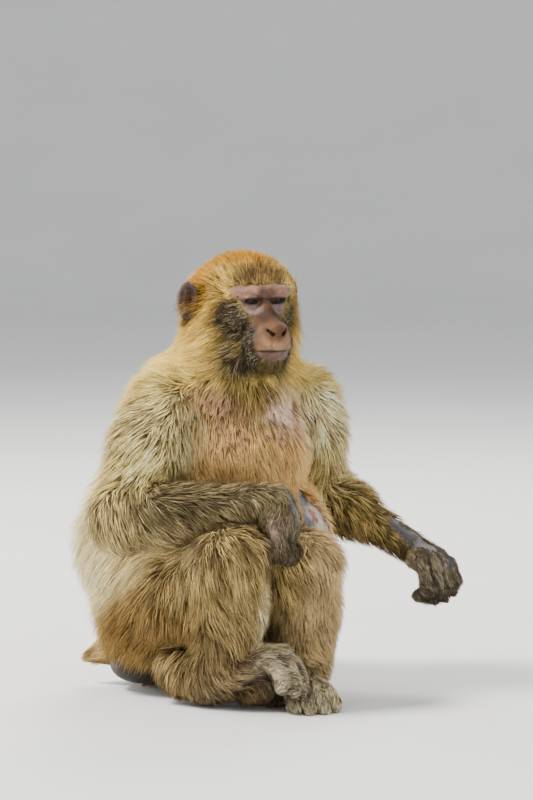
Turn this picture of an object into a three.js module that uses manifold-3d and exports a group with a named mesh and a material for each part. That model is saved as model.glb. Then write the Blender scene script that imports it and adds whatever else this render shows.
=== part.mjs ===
// A Barbary macaque sitting upright, life size: knees drawn up, the right hand hanging over the right
// knee, the left arm reaching out to its side, the head turned a little to its right. Millimetres, +Z up,
// facing -Y. The animal's own left is +X. The origin lies on the floor, on the flat of its seat.
//
// The body is a field made of simple masses, each an ellipsoid or a tapered limb. The field is negative
// inside the coat's outer surface. Flesh comes from that field by marching cubes, and is parted by thin
// cuts.
import * as THREE from 'three';
import { MarchingCubes } from 'three/addons/objects/MarchingCubes.js';
import { mergeVertices } from 'three/addons/utils/BufferGeometryUtils.js';
import Module from 'manifold-3d';

const wasm = await Module();
wasm.setup();

// ---------------------------------------------------------------- driving dimensions

const CUT = 0.3; // width of the thin flat cuts that part the body
const CLEARANCE = 0.7; // between limbs that touch, and where they part from the trunk
const BLEND = 16; // how far two masses of flesh flow into each other
const FINE_CELL = 30; // marching-cubes cell of the body's surface
const COARSE_CELL = 42; // marching-cubes cell of the faces where the limbs part from the trunk
const BLOCK_SIZE = 460; // a cube that holds the body without its head
const BLOCK_CENTRE = new THREE.Vector3(28, -20, 190);

const EAR_AXIS = new THREE.Vector3(2, -83, 409); // middle of the head, between the ears
const HEAD_TURN = THREE.MathUtils.degToRad(-15); // to the animal's right
const EYE_RADIUS = 9.5;
const EYE_FORWARD = 46;
const EYE_ASIDE = 15.5;
const EYE_UP = 3;
const HEAD_BLEND = 14; // how softly the masses of the skull and its ruff join
const FACE_BLEND = 9; // the same for the bare face
const FACE_TO_RUFF = 8; // and for the face where it meets the ruff
const LIP_GROOVE = 2.2;

// Radii of the limbs out to the tips of the coat.
const ARM = { shoulder: 46, biceps: 45, elbow: 35, forearm: 34, wrist: 20 };
const LEG = { hip: 59, knee: 42, shin: 40, calf: 34, heel: 22 };

const v = (x, y, z) => new THREE.Vector3(x, y, z);

// Joints of the skeleton. Each side has its own, because the pose isn't symmetrical.
const ARMS = {
  right: { shoulder: v(-84, -60, 298), elbow: v(-150, -74, 197), wrist: v(-29, -175, 217) },
  left: { shoulder: v(98, -64, 300), elbow: v(159, -22, 201), wrist: v(209, -120, 141) },
};
const LEGS = {
  right: { hip: v(-46, 12, 78), knee: v(-70, -152, 158), ankle: v(-44, -120, 39) },
  left: { hip: v(46, 12, 76), knee: v(38, -142, 144), ankle: v(58, -118, 34) },
};
const HEELS = { right: v(-52, -98, 26), left: v(61, -96, 21) };

// ---------------------------------------------------------------- the field

// Distance from p to an ellipsoid, negative inside.
function ball(centre, radii) {
  return (p) => {
    const x = p.x - centre.x;
    const y = p.y - centre.y;
    const z = p.z - centre.z;
    const near = Math.hypot(x / radii.x, y / radii.y, z / radii.z);
    const slope = Math.hypot(x / radii.x ** 2, y / radii.y ** 2, z / radii.z ** 2);
    return slope < 1e-9 ? -Math.min(radii.x, radii.y, radii.z) : (near * (near - 1)) / slope;
  };
}

// Distance from p to a limb that tapers from radius r0 at a to r1 at b.
function limb(a, b, r0, r1) {
  const along = b.clone().sub(a);
  const length2 = along.lengthSq();
  return (p) => {
    const x = p.x - a.x;
    const y = p.y - a.y;
    const z = p.z - a.z;
    const t = THREE.MathUtils.clamp((x * along.x + y * along.y + z * along.z) / length2, 0, 1);
    return Math.hypot(x - along.x * t, y - along.y * t, z - along.z * t) - THREE.MathUtils.lerp(r0, r1, t);
  };
}

// The same mass in a frame turned about the vertical through a point.
function turned(mass, pivot, angle) {
  const c = Math.cos(-angle);
  const s = Math.sin(-angle);
  const q = new THREE.Vector3();
  return (p) => {
    const x = p.x - pivot.x;
    const y = p.y - pivot.y;
    return mass(q.set(pivot.x + c * x - s * y, pivot.y + s * x + c * y, p.z));
  };
}

function smoothMin(a, b, width) {
  const h = Math.max(width - Math.abs(a - b), 0) / width;
  return Math.min(a, b) - (h * h * width) / 4;
}

const smoothUnion = (masses, width) => (p) => masses.reduce((d, mass) => smoothMin(d, mass(p), width), 1e3);
const nearest = (masses) => (p) => masses.reduce((d, mass) => Math.min(d, mass(p)), 1e3);

// ---------------------------------------------------------------- the masses of the body

const CORE = [
  ball(v(0, 22, 84), v(80, 95, 90)), // rump
  ball(v(-38, 90, 34), v(25, 25, 18)), // tuft of long hair low on the rump
  ball(v(4, 10, 152), v(121, 130, 104)), // lower back and flanks
  ball(v(22, -58, 192), v(90, 72, 58)), // belly
  ball(v(62, -80, 168), v(52, 58, 46)), // belly, where it lies on the left thigh
  ball(v(-40, 32, 28), v(35, 37, 24)), // the pad it sits on, right
  ball(v(40, 32, 28), v(35, 37, 24)), // and left
  ball(v(2, 22, 212), v(90, 96, 62)), // waist
  ball(v(2, -4, 250), v(92, 92, 86)), // upper back
  ball(v(4, -48, 256), v(98, 92, 86)), // chest
  ball(v(2, -56, 319), v(98, 80, 55)), // withers and mane
];
const NECK_BASE = v(4, -66, 332);
const NECK_TOP = v(4, -76, 392);
const NECK = [limb(NECK_BASE, NECK_TOP, 76, 58)];

const along = (a, b, t) => a.clone().lerp(b, t);

function armMasses({ shoulder, elbow, wrist }, foreRadius) {
  const biceps = v(ARM.biceps, ARM.biceps, ARM.biceps);
  const belly = v(ARM.forearm, ARM.forearm, ARM.forearm);
  return {
    upper: [limb(shoulder, elbow, ARM.shoulder, ARM.elbow), ball(along(shoulder, elbow, 0.35), biceps)],
    fore: [limb(elbow, wrist, foreRadius, ARM.wrist), ball(along(elbow, wrist, 0.3), belly)],
  };
}

function legMasses({ hip, knee, ankle }, heel, ankleRadius, fringe = []) {
  const calf = along(knee, ankle, 0.45).add(v(11, 12, 0));
  return {
    thigh: [limb(hip, knee, LEG.hip, LEG.knee), ball(along(hip, knee, 0.45), v(56, 62, 62))],
    shin: [
      limb(knee, ankle, LEG.shin, ankleRadius),
      ball(calf, v(37, 36, 42)),
      limb(calf, heel, LEG.calf, LEG.heel),
      ...fringe,
    ],
  };
}

const armRight = armMasses(ARMS.right, 38);
const armLeft = armMasses(ARMS.left, 33);
const FRINGE = limb(v(-62, -62, 36), v(-37, -126, 36), 34, 27); // hair hanging between haunch and heel
const legRight = legMasses(LEGS.right, HEELS.right, 30, [FRINGE]);
const legLeft = legMasses(LEGS.left, HEELS.left, 31);
const CHAINS = [
  [...armRight.upper, ...armRight.fore],
  [...armLeft.upper, ...armLeft.fore],
  [...legRight.thigh, ...legRight.shin],
  [...legLeft.thigh, ...legLeft.shin],
];
const bodyField = smoothUnion([...CORE, ...NECK, ...CHAINS.flat()], BLEND);

// ---------------------------------------------------------------- from fields and geometries to solids

const MERGE = 1e-3; // points nearer than this are one point

// A three.js geometry as a manifold-3d solid. Faces that point inwards are turned.
function solid(geometry) {
  const bare = geometry.index ? geometry.toNonIndexed() : geometry.clone();
  bare.deleteAttribute('normal');
  bare.deleteAttribute('uv');
  const merged = mergeVertices(bare, MERGE);
  const triVerts = new Uint32Array(merged.index.array);
  const make = () => new wasm.Manifold(new wasm.Mesh({
    numProp: 3, vertProperties: merged.attributes.position.array, triVerts,
  }));
  const made = make();
  if (made.volume() > 0) return made;
  for (let i = 0; i < triVerts.length; i += 3) {
    [triVerts[i + 1], triVerts[i + 2]] = [triVerts[i + 2], triVerts[i + 1]];
  }
  return make();
}

function geometryOf(manifold) {
  const { vertProperties, triVerts, numProp, numVert } = manifold.getMesh();
  const position = new Float32Array(numVert * 3);
  for (let i = 0; i < numVert; i++) {
    position.set(vertProperties.subarray(i * numProp, i * numProp + 3), i * 3);
  }
  return new THREE.BufferGeometry()
    .setAttribute('position', new THREE.BufferAttribute(position, 3))
    .setIndex(new THREE.BufferAttribute(triVerts, 1));
}

// The closed surface of a field, cell by cell, in the body's block.
function marchedGeometry(field, cell) {
  const MARGIN = 4;
  const MOST_TRIANGLES = 40000;
  const nodes = Math.ceil(BLOCK_SIZE / cell) + MARGIN;
  const half = nodes / 2;
  const cubes = new MarchingCubes(nodes, undefined, false, false, MOST_TRIANGLES);
  cubes.isolation = 0;
  const p = new THREE.Vector3();
  const edge = (i) => i <= 1 || i >= nodes - 2;
  for (let k = 0, n = 0; k < nodes; k++) {
    for (let j = 0; j < nodes; j++) {
      for (let i = 0; i < nodes; i++, n++) {
        p.set(i - half, j - half, k - half).multiplyScalar(cell).add(BLOCK_CENTRE);
        cubes.field[n] = edge(i) || edge(j) || edge(k) ? -cell : -field(p);
      }
    }
  }
  cubes.update();
  const position = new THREE.BufferAttribute(cubes.positionArray.slice(0, cubes.count * 3), 3);
  const geometry = new THREE.BufferGeometry().setAttribute('position', position);
  geometry.scale(half * cell, half * cell, half * cell);
  geometry.translate(...BLOCK_CENTRE);
  return mergeVertices(geometry, MERGE);
}

const marched = (field, cell) => solid(marchedGeometry(field, cell));

// The same surface pushed outwards along its normals.
function pushedOut(geometry, distance) {
  const pushed = geometry.clone();
  pushed.computeVertexNormals();
  const { position, normal } = pushed.attributes;
  const p = new THREE.Vector3();
  const n = new THREE.Vector3();
  for (let i = 0; i < position.count; i++) {
    p.fromBufferAttribute(position, i).addScaledVector(n.fromBufferAttribute(normal, i), distance);
    position.setXYZ(i, ...p);
  }
  return pushed;
}

// A sphere geometry whose points are pushed out from a centre to the outermost surface of a field.
// The rings crowd round the pole, which points along the given direction.
function wrapped(field, centre, pole, segments, rings, crowding) {
  const FAR = 150;
  const HALVINGS = 12;
  const geometry = new THREE.SphereGeometry(1, segments, rings);
  const position = geometry.attributes.position;
  const aim = new THREE.Quaternion().setFromUnitVectors(v(0, 1, 0), pole.clone().normalize());
  const ray = new THREE.Vector3();
  const p = new THREE.Vector3();
  const at = (r) => field(p.copy(centre).addScaledVector(ray, r));
  for (let i = 0; i < position.count; i++) {
    ray.fromBufferAttribute(position, i);
    const tilt = Math.acos(THREE.MathUtils.clamp(ray.y, -1, 1));
    const newTilt = Math.PI * (tilt / Math.PI) ** crowding;
    const round = Math.atan2(ray.z, ray.x);
    ray.set(Math.sin(newTilt) * Math.cos(round), Math.cos(newTilt), Math.sin(newTilt) * Math.sin(round));
    ray.applyQuaternion(aim);
    let outer = FAR;
    while (outer > 1 && at(outer) > 0) outer -= 1;
    let inner = outer;
    outer += 1;
    for (let step = 0; step < HALVINGS; step++) {
      const middle = (inner + outer) / 2;
      if (at(middle) > 0) outer = middle;
      else inner = middle;
    }
    position.setXYZ(i, ...p.copy(centre).addScaledVector(ray, inner));
  }
  return solid(geometry);
}

// A closed tube along a curve. Its radius depends on the way along it, it is flattened along "up", which is
// never along the curve, and its ends stand out past the curve's by the overhang.
function swept(curve, radiusAt, rings, sides, up = v(0, 0, 1), flatness = 1, overhang = 0) {
  const geometry = new THREE.CylinderGeometry(1, 1, 1, sides, rings);
  const position = geometry.attributes.position;
  for (let i = 0; i < position.count; i++) {
    const t = THREE.MathUtils.clamp(position.getY(i) + 0.5, 0, 1);
    const tangent = curve.getTangent(t);
    const side = tangent.clone().cross(up).normalize();
    const top = side.clone().cross(tangent);
    const r = radiusAt(t);
    const past = Math.trunc((2 * t - 1) * 1.01) * overhang; // at the two ends only
    const point = curve.getPoint(t)
      .addScaledVector(tangent, past)
      .addScaledVector(side, position.getX(i) * r)
      .addScaledVector(top, position.getZ(i) * r * flatness);
    position.setXYZ(i, point.x, point.y, point.z);
  }
  return solid(geometry);
}

function ellipsoid(centre, radii, segments, rings) {
  return solid(new THREE.SphereGeometry(1, segments, rings).scale(...radii).translate(...centre));
}

// The half of space on one side of a plane, as a block big enough for this animal.
function halfSpace(point, normal, shift = 0) {
  const SIZE = 1200;
  const geometry = new THREE.BoxGeometry(SIZE, SIZE, SIZE).translate(0, 0, SIZE / 2 + shift);
  const aim = new THREE.Quaternion().setFromUnitVectors(v(0, 0, 1), normal.clone().normalize());
  return solid(geometry.applyQuaternion(aim).translate(...point));
}

// Both sides of a thin planar cut: [the side the normal points to, the other side].
function cutBy(body, point, normal) {
  return [
    body.intersect(halfSpace(point, normal, CUT / 2)),
    body.subtract(halfSpace(point, normal, -CUT / 2)),
  ];
}

// The largest body of a solid, without crumbs that a cut has left.
const largest = (body) => body.decompose().reduce((a, b) => (b.volume() > a.volume() ? b : a));

const FLOOR = halfSpace(v(0, 0, 0), v(0, 0, 1));

// ---------------------------------------------------------------- head

const forward = v(0, -1, 0).applyAxisAngle(v(0, 0, 1), HEAD_TURN);
const leftward = v(1, 0, 0).applyAxisAngle(v(0, 0, 1), HEAD_TURN);

// A point of the head: forward, to its left and up from the middle of the ear axis.
function onHead(ahead, left, up) {
  return EAR_AXIS.clone().addScaledVector(forward, ahead).addScaledVector(leftward, left).add(v(0, 0, up));
}

// An ellipsoid that turns with the head: where its middle is, then how deep, wide and high it reaches.
function headBall(ahead, left, up, depth, width, height) {
  const unturned = EAR_AXIS.clone().add(v(left, -ahead, up));
  return turned(ball(unturned, v(width, depth, height)), EAR_AXIS, HEAD_TURN);
}

const bothSides = (make) => [make(1), make(-1)];

const skullField = smoothUnion([
  headBall(-6, 0, 4, 57, 50, 49), // crown, under its fur
  headBall(14, 3, 8, 42, 53, 41), // forehead and temples
  headBall(12, 34, -4, 30, 27, 36), // fur fluffed out before the left ear
  headBall(0, 42, -42, 36, 34, 32), // and below it
  ...bothSides((s) => headBall(-28, 38 * s, -2, 24, 26, 34)), // fur behind the ears
  ...bothSides((s) => headBall(-2, 33 * s, -30, 40, 36, 42)), // cheek ruffs
  headBall(2, 0, -42, 48, 52, 34), // ruff below the ears
  headBall(26, 0, -60, 32, 34, 24), // throat
], HEAD_BLEND);
const faceField = smoothUnion([
  headBall(36, 0, -8, 24, 33, 30), // cheekbones
  headBall(43, 0, 13, 15, 36, 8), // brow ridge
  limb(onHead(50, 0, -13), onHead(66, 0, -30), 13.5, 17.5), // bridge of the nose
  headBall(60, 0, -37, 25.5, 24.5, 18), // muzzle
  headBall(54, 0, -56, 24, 20, 15), // lower jaw and chin
], FACE_BLEND);
const headField = (p) => smoothMin(skullField(p), faceField(p), FACE_TO_RUFF);
const HEAD_CENTRE = onHead(8, 0, -10);
const HEAD_MESH = { segments: 30, rings: 20, crowding: 1.45 }; // rings crowd towards the face

const makeHead = (grow) => wrapped(
  (p) => headField(p) - grow, HEAD_CENTRE, forward, HEAD_MESH.segments, HEAD_MESH.rings, HEAD_MESH.crowding,
);
const eyePlace = (s) => onHead(EYE_FORWARD, EYE_ASIDE * s, EYE_UP);

// The slit between the lids, through which the eye is seen.
const lidSlit = (s) => {
  const opening = new THREE.SphereGeometry(1, 8, 5).scale(9, 14, 4.5).rotateZ(HEAD_TURN);
  return solid(opening.translate(...onHead(EYE_FORWARD + 14, EYE_ASIDE * s, EYE_UP)));
};

// The line between the lips, cut as a shallow groove round the muzzle.
function mouthLine() {
  const curve = new THREE.CatmullRomCurve3([
    onHead(58, -25, -46),
    onHead(77, -16, -45),
    onHead(85, 0, -44),
    onHead(77, 16, -45),
    onHead(58, 25, -46),
  ]);
  return swept(curve, () => LIP_GROOVE, 8, 4);
}

const nostril = (s) => ellipsoid(onHead(85, 6 * s, -27), v(3, 5, 2.4), 6, 4);

// An ear: a plate that faces sideways and a little forward, hollowed by its bowl.
function ear(s) {
  const place = onHead(s > 0 ? -12 : -8, (s > 0 ? 57 : 54) * s, 1); // the left one is pushed out by its fur
  const flare = new THREE.Euler(0, 0, HEAD_TURN - THREE.MathUtils.degToRad(38 * s));
  const shape = (radii, offset) => solid(
    new THREE.SphereGeometry(1, 10, 8).scale(...radii).translate(...offset)
      .applyQuaternion(new THREE.Quaternion().setFromEuler(flare)).translate(...place),
  );
  const plate = shape(v(6.5, 13, 20.5), v(4 * s, 0, 0));
  const bowl = shape(v(6.5, 9.5, 15.5), v(10 * s, -2.5, 1));
  return plate.subtract(bowl);
}

// ---------------------------------------------------------------- hands and feet

// The joints of a digit: each bone turns further towards the palm, which faces against "back".
function digitCurve(base, direction, back, bones, bends) {
  const points = [base.clone()];
  let bend = 0;
  bones.forEach((length, i) => {
    bend += THREE.MathUtils.degToRad(bends[i]);
    const way = direction.clone().multiplyScalar(Math.cos(bend)).addScaledVector(back, -Math.sin(bend));
    points.push(points.at(-1).clone().addScaledVector(way, length));
  });
  return new THREE.CatmullRomCurve3(points, false, 'centripetal');
}

const DIGIT_SIDES = 5;
const DIGIT_RINGS = 3;
// A digit tapers a little, and its tip is rounded off.
const digitShare = (t) => (t > 0.97 ? 0.6 : 1 - 0.15 * t);
const digit = (curve, thick, aside, grow) => swept(
  curve, (t) => grow + thick * digitShare(t), DIGIT_RINGS, DIGIT_SIDES, aside, 1, grow,
);

// Palm and five digits. "onward" leads to the fingers, "back" is the back of the hand and "side" is 1 for
// the right and -1 for the left.
function paw({ wrist, onward, back, side, palm, digits, thumb }, grow) {
  const ahead = onward.clone().normalize();
  const top = back.clone().addScaledVector(ahead, -back.dot(ahead)).normalize();
  const aside = top.clone().cross(ahead).multiplyScalar(side);
  const place = (far, wide, high = 0) => wrist.clone()
    .addScaledVector(ahead, far).addScaledVector(aside, wide).addScaledVector(top, high);
  const palmRadius = (t) => grow + (palm.width / 2) * (0.78 + 0.3 * Math.sin(Math.PI * (0.15 + 0.7 * t)));
  const palmLine = new THREE.LineCurve3(place(-8, 0), place(palm.length, 0));
  let hand = swept(palmLine, palmRadius, 3, 7, top, palm.thick / palm.width, grow);
  const rows = [1.5, 0.5, -0.5, -1.5];
  rows.forEach((row, i) => {
    const base = place(palm.length * (0.9 - 0.05 * Math.abs(row)), row * (palm.width / 4.1));
    const way = ahead.clone().addScaledVector(aside, row * 0.06).normalize();
    const curve = digitCurve(base, way, top, digits.bones.map((b) => b * digits.shares[i]), digits.bends);
    hand = hand.add(digit(curve, digits.thick, aside, grow));
  });
  const way = ahead.clone().multiplyScalar(Math.cos(thumb.angle))
    .addScaledVector(aside, Math.sin(thumb.angle));
  const base = place(palm.length * thumb.at, palm.width * 0.34, -palm.thick * 0.2);
  const curve = digitCurve(base, way, top, thumb.bones, thumb.bends);
  return hand.add(digit(curve, digits.thick, aside, grow));
}

const HAND = {
  palm: { length: 46, width: 45, thick: 28 },
  thumb: { bones: [18, 14], bends: [35, 25], at: 0.35, angle: 0.26 },
};
const FINGERS = { bones: [24, 17, 12], shares: [0.92, 1, 0.98, 0.84], thick: 8.2 };

const HAND_WAYS = { right: v(0.1, -0.1, -1).normalize(), left: v(-0.175, -0.95, -0.25).normalize() };

// The right hand hangs from the wrist over the knee, its fingers curled back towards the palm.
const makeHandRight = (grow) => paw({
  ...HAND, wrist: ARMS.right.wrist, onward: HAND_WAYS.right, back: v(0.5, -0.85, 0), side: 1,
  palm: { ...HAND.palm, length: 42, thick: 40 },
  digits: { ...FINGERS, bends: [-12, 115, 60] },
}, grow);

// The left hand lies flat, as on a ledge, its fingers bent down over the edge.
const makeHandLeft = (grow) => paw({
  ...HAND, wrist: ARMS.left.wrist, onward: HAND_WAYS.left, back: v(0, 0, 1), side: -1,
  thumb: { ...HAND.thumb, bends: [25, 20], angle: -0.7 },
  digits: { ...FINGERS, bends: [45, 65, 50] },
}, grow);

const TOES = { bones: [22, 15, 11], shares: [0.9, 1, 0.96, 0.84], thick: 8.8 };

// A foot from its heel, on the floor, to the ball of the foot, and on to the toes.
function foot({ ankle }, { side, heel, root, bends, thumbAngle }, grow) {
  const sole = root.clone().sub(heel);
  const front = paw({
    wrist: heel, onward: sole, back: v(0, 0, 1), side,
    palm: { length: sole.length() + 8, width: 46, thick: 34 },
    digits: { ...TOES, bends },
    thumb: { bones: [24, 16], bends: [10, 16], at: 0.42, angle: thumbAngle },
  }, grow);
  const heelBall = ellipsoid(heel.clone().add(v(0, 2, 0)), v(22 + grow, 24 + grow, 23 + grow), 8, 6);
  const instep = swept(
    new THREE.LineCurve3(ankle.clone().add(v(0, 2, 16)), along(heel, root, 0.62).add(v(0, 0, 4))),
    (t) => grow + 26 - 8 * t, 2, 8,
  );
  return front.add(heelBall).add(instep).intersect(FLOOR);
}

const ARCH = { centre: v(-24, -136, 22), radii: v(21, 24, 19) }; // hair that fills the right foot's arch

// The right foot is arched, its toes over those of the left foot, which lies flat.
const makeFootRight = (grow) => foot(LEGS.right, {
  side: 1, heel: HEELS.right, root: v(-23, -165, 57), bends: [46, 42, 30], thumbAngle: 0.3,
}, grow)
  .add(ellipsoid(ARCH.centre, ARCH.radii.clone().addScalar(grow), 8, 6))
  .intersect(FLOOR);
const makeFootLeft = (grow) => foot(LEGS.left, {
  side: -1, heel: HEELS.left, root: v(22, -165, 17), bends: [6, 14, 14], thumbAngle: 0.6,
}, grow);

// ---------------------------------------------------------------- parting the body

const parts = {};

// Where a limb is nearer than anything else, the flesh belongs to that limb.
let rest = marched(bodyField, FINE_CELL).intersect(FLOOR);
const chainParts = CHAINS.map((chain, i) => {
  const own = nearest(chain);
  const others = nearest([...CORE, ...NECK, ...CHAINS.filter((_, j) => j !== i).flat()]);
  const territory = (p) => (own(p) - others(p)) / 2;
  const border = marchedGeometry(territory, COARSE_CELL);
  const piece = rest.intersect(solid(border));
  rest = rest.subtract(solid(pushedOut(border, CLEARANCE)));
  return largest(piece);
});

// A limb bends in the plane that halves the angle at its joint.
function splitAtJoint(piece, start, joint, end) {
  const normal = end.clone().sub(joint).normalize().add(joint.clone().sub(start).normalize());
  const [beyond, before] = cutBy(piece, joint, normal);
  return [largest(before), largest(beyond)];
}

const [CHIN_CUT, NECK_CUT] = [v(0, -147, 333), v(0, -140, 314)];
const NECK_TILT = v(0, -0.28, 1);
const [headAbove, below] = cutBy(largest(rest).add(makeHead(0)), CHIN_CUT, NECK_TILT);
const [neck, trunk] = cutBy(below, NECK_CUT, NECK_TILT);
parts.neck = largest(neck);
parts.trunk = largest(trunk.subtract(makeHandRight(CLEARANCE)));

// The face, cut into the head, and the eyes and ears, fitted to it.
let head = headAbove.subtract(mouthLine());
for (const [side, s] of Object.entries({ left: 1, right: -1 })) {
  const eyeball = (grow) => ellipsoid(eyePlace(s), v(1, 1, 1).multiplyScalar(EYE_RADIUS + grow), 10, 8);
  head = head.subtract(eyeball(CUT)).subtract(lidSlit(s)).subtract(nostril(s));
  parts[`eye_${side}`] = eyeball(0);
  parts[`ear_${side}`] = largest(ear(s).subtract(makeHead(CUT)));
}
parts.head = largest(head);

const makeHand = { right: makeHandRight, left: makeHandLeft };
const makeFoot = { right: makeFootRight, left: makeFootLeft };
const ANKLE_CUT = v(0, 0.75, 1); // the way up through the ankle, square to the plane between shin and foot
Object.entries({ right: 0, left: 1 }).forEach(([side, i]) => {
  const { shoulder, elbow, wrist } = ARMS[side];
  const { hip, knee, ankle } = LEGS[side];
  const [upperArm, forearm] = splitAtJoint(chainParts[i], shoulder, elbow, wrist);
  const [thigh, shin] = splitAtJoint(chainParts[i + 2], hip, knee, ankle);
  const wristNormal = wrist.clone().sub(elbow).normalize().add(HAND_WAYS[side]);
  const [hand, forearmOnly] = cutBy(forearm.add(makeHand[side](0)), wrist, wristNormal);
  const overAnkle = ankle.clone().add(v(0, 0, 16));
  const [shinOnly, footOnly] = cutBy(shin.add(makeFoot[side](0)), overAnkle, ANKLE_CUT);
  parts[`upper_arm_${side}`] = upperArm;
  parts[`forearm_${side}`] = largest(forearmOnly);
  parts[`hand_${side}`] = largest(hand);
  const handRoom = makeHand[side](CLEARANCE);
  parts[`thigh_${side}`] = largest(thigh.subtract(handRoom));
  parts[`shin_${side}`] = largest(shinOnly.subtract(handRoom));
  parts[`foot_${side}`] = largest(footOnly);
});
parts.foot_right = largest(parts.foot_right.subtract(makeFootLeft(CLEARANCE)));

// ---------------------------------------------------------------- finish and group

const FUR = new THREE.MeshStandardMaterial({ color: 0xb08a54, roughness: 0.9, metalness: 0 });
const SKIN = new THREE.MeshStandardMaterial({ color: 0xa98272, roughness: 0.7, metalness: 0 });
const EAR = new THREE.MeshStandardMaterial({ color: 0x8a5a40, roughness: 0.8, metalness: 0 });
const EYE = new THREE.MeshStandardMaterial({ color: 0x3a2414, roughness: 0.1, metalness: 0 });
const materialOf = (name) => {
  if (name.startsWith('eye')) return EYE;
  if (name.startsWith('ear')) return EAR;
  if (name.startsWith('hand') || name.startsWith('foot')) return SKIN;
  return FUR;
};

const macaque = new THREE.Group();
for (const [name, body] of Object.entries(parts)) {
  const mesh = new THREE.Mesh(geometryOf(body), materialOf(name));
  mesh.name = name;
  macaque.add(mesh);
}

export default macaque;
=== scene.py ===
"""The looks of a sitting Barbary macaque: one skin, two eyes, nails, and a coat of solid tufts.

The masses of the body are those of the CAD solids, which run out to the tips of the coat. The skin is
polygonised from the same masses, made thinner by the coat's depth, with a detailed head, hands and feet.
Every tuft starts on the skin and walks over it along the lie of the coat, to about the CAD's outline.
Lengths are millimetres until a mesh is made. Angles are radians, but the bends of digits are degrees.
"""
import math

import bmesh
import bpy
import numpy as np
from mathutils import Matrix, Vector
from mathutils.kdtree import KDTree


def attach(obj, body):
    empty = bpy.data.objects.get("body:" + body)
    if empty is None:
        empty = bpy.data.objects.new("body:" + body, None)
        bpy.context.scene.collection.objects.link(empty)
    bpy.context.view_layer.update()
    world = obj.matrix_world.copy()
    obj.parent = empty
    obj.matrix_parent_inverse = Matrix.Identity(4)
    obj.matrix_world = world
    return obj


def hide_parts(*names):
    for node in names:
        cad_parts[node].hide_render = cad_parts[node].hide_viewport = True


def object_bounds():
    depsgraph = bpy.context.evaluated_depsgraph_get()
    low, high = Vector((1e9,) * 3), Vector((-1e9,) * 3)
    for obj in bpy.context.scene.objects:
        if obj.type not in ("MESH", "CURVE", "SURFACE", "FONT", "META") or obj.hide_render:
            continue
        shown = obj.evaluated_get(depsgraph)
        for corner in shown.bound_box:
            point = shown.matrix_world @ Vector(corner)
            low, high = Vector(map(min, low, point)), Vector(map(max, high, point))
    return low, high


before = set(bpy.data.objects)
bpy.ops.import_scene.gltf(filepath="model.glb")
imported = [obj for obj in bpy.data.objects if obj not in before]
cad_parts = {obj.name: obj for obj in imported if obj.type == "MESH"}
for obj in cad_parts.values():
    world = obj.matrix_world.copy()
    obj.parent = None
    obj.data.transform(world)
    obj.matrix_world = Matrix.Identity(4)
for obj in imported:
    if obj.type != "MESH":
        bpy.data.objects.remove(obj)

CAD_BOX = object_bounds()
MM = 0.001
FAR = 1e3
TINY = 1e-9
rng = np.random.default_rng(11)


def v(*numbers):
    return np.array(numbers, float)


def unit(a):
    return a / np.maximum(norm(a)[..., None], TINY)


def norm(a):
    return np.sqrt((a * a).sum(-1))


def smoothstep(x, low, high):
    t = np.clip((x - low) / (high - low), 0, 1)
    return t * t * (3 - 2 * t)


# ------------------------------------------------------------------ skeleton, as in the CAD

ARMS = {
    "right": {"shoulder": v(-84, -60, 298), "elbow": v(-150, -74, 197), "wrist": v(-29, -175, 217)},
    "left": {"shoulder": v(98, -64, 300), "elbow": v(159, -22, 201), "wrist": v(209, -120, 141)},
}
LEGS = {
    "right": {"hip": v(-46, 12, 78), "knee": v(-70, -152, 158),
              "ankle": v(-44, -120, 39), "heel": v(-52, -98, 26)},
    "left": {"hip": v(46, 12, 76), "knee": v(38, -142, 144),
             "ankle": v(58, -118, 34), "heel": v(61, -96, 21)},
}
EAR_AXIS = v(2, -83, 409)
HEAD_TURN = math.radians(-15)
FORWARD = v(math.sin(HEAD_TURN), -math.cos(HEAD_TURN), 0)
LEFTWARD = v(math.cos(HEAD_TURN), math.sin(HEAD_TURN), 0)
UPWARD = v(0, 0, 1)
HEAD_AXES = np.array([FORWARD, LEFTWARD, UPWARD])
EYE_RADIUS = 9.5
EYE_AHEAD, EYE_ASIDE, EYE_UP = 46, 15.5, 3
HEAD_BLEND = 14  # how softly the masses of the skull and its ruff join
FACE_BLEND = 9  # the same for the bare face
FACE_TO_RUFF = 8  # and for the face where it meets the ruff


def on_head(ahead, left, up):
    return EAR_AXIS + ahead * FORWARD + left * LEFTWARD + up * UPWARD


def head_frame(points):
    """Points as (ahead, left, up) from the middle of the ear axis."""
    return (points - EAR_AXIS) @ HEAD_AXES.T


# ------------------------------------------------------------------ distances


def ball(points, centre, radii):
    q = (points - centre) / radii
    reach = norm(q)
    return reach * (reach - 1) / np.maximum(norm(q / radii), TINY)


def limb(points, a, b, r0, r1):
    along = b - a
    t = np.clip(((points - a) @ along) / (along @ along), 0, 1)
    return norm(points - a - t[:, None] * along) - (r0 + (r1 - r0) * t)


def smooth_min(a, b, width):
    h = np.maximum(width - np.abs(a - b), 0) / width
    return np.minimum(a, b) - h * h * width / 4


def smooth_max(a, b, width):
    return -smooth_min(-a, -b, width)


def joined(distances, width):
    total = distances[0]
    for distance in distances[1:]:
        total = smooth_min(total, distance, width)
    return total


# ------------------------------------------------------------------ masses of the body


class Mass:
    """An ellipsoid or a tapered limb: out to the coat's tips, and, less its coat, out to the skin."""

    def __init__(self, name, flow, coat, centre=None, radii=None, ends=None):
        self.name, self.flow, self.coat = name, unit(v(*flow)), coat
        self.centre, self.radii, self.ends = centre, radii, ends

    def distance(self, points, bare):
        if self.ends is None:
            return ball(points, self.centre, self.radii - (self.coat if bare else 0))
        a, b, r0, r1 = self.ends
        c0, c1 = self.coat if bare else (0, 0)
        return limb(points, a, b, r0 - c0, r1 - c1)


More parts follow.
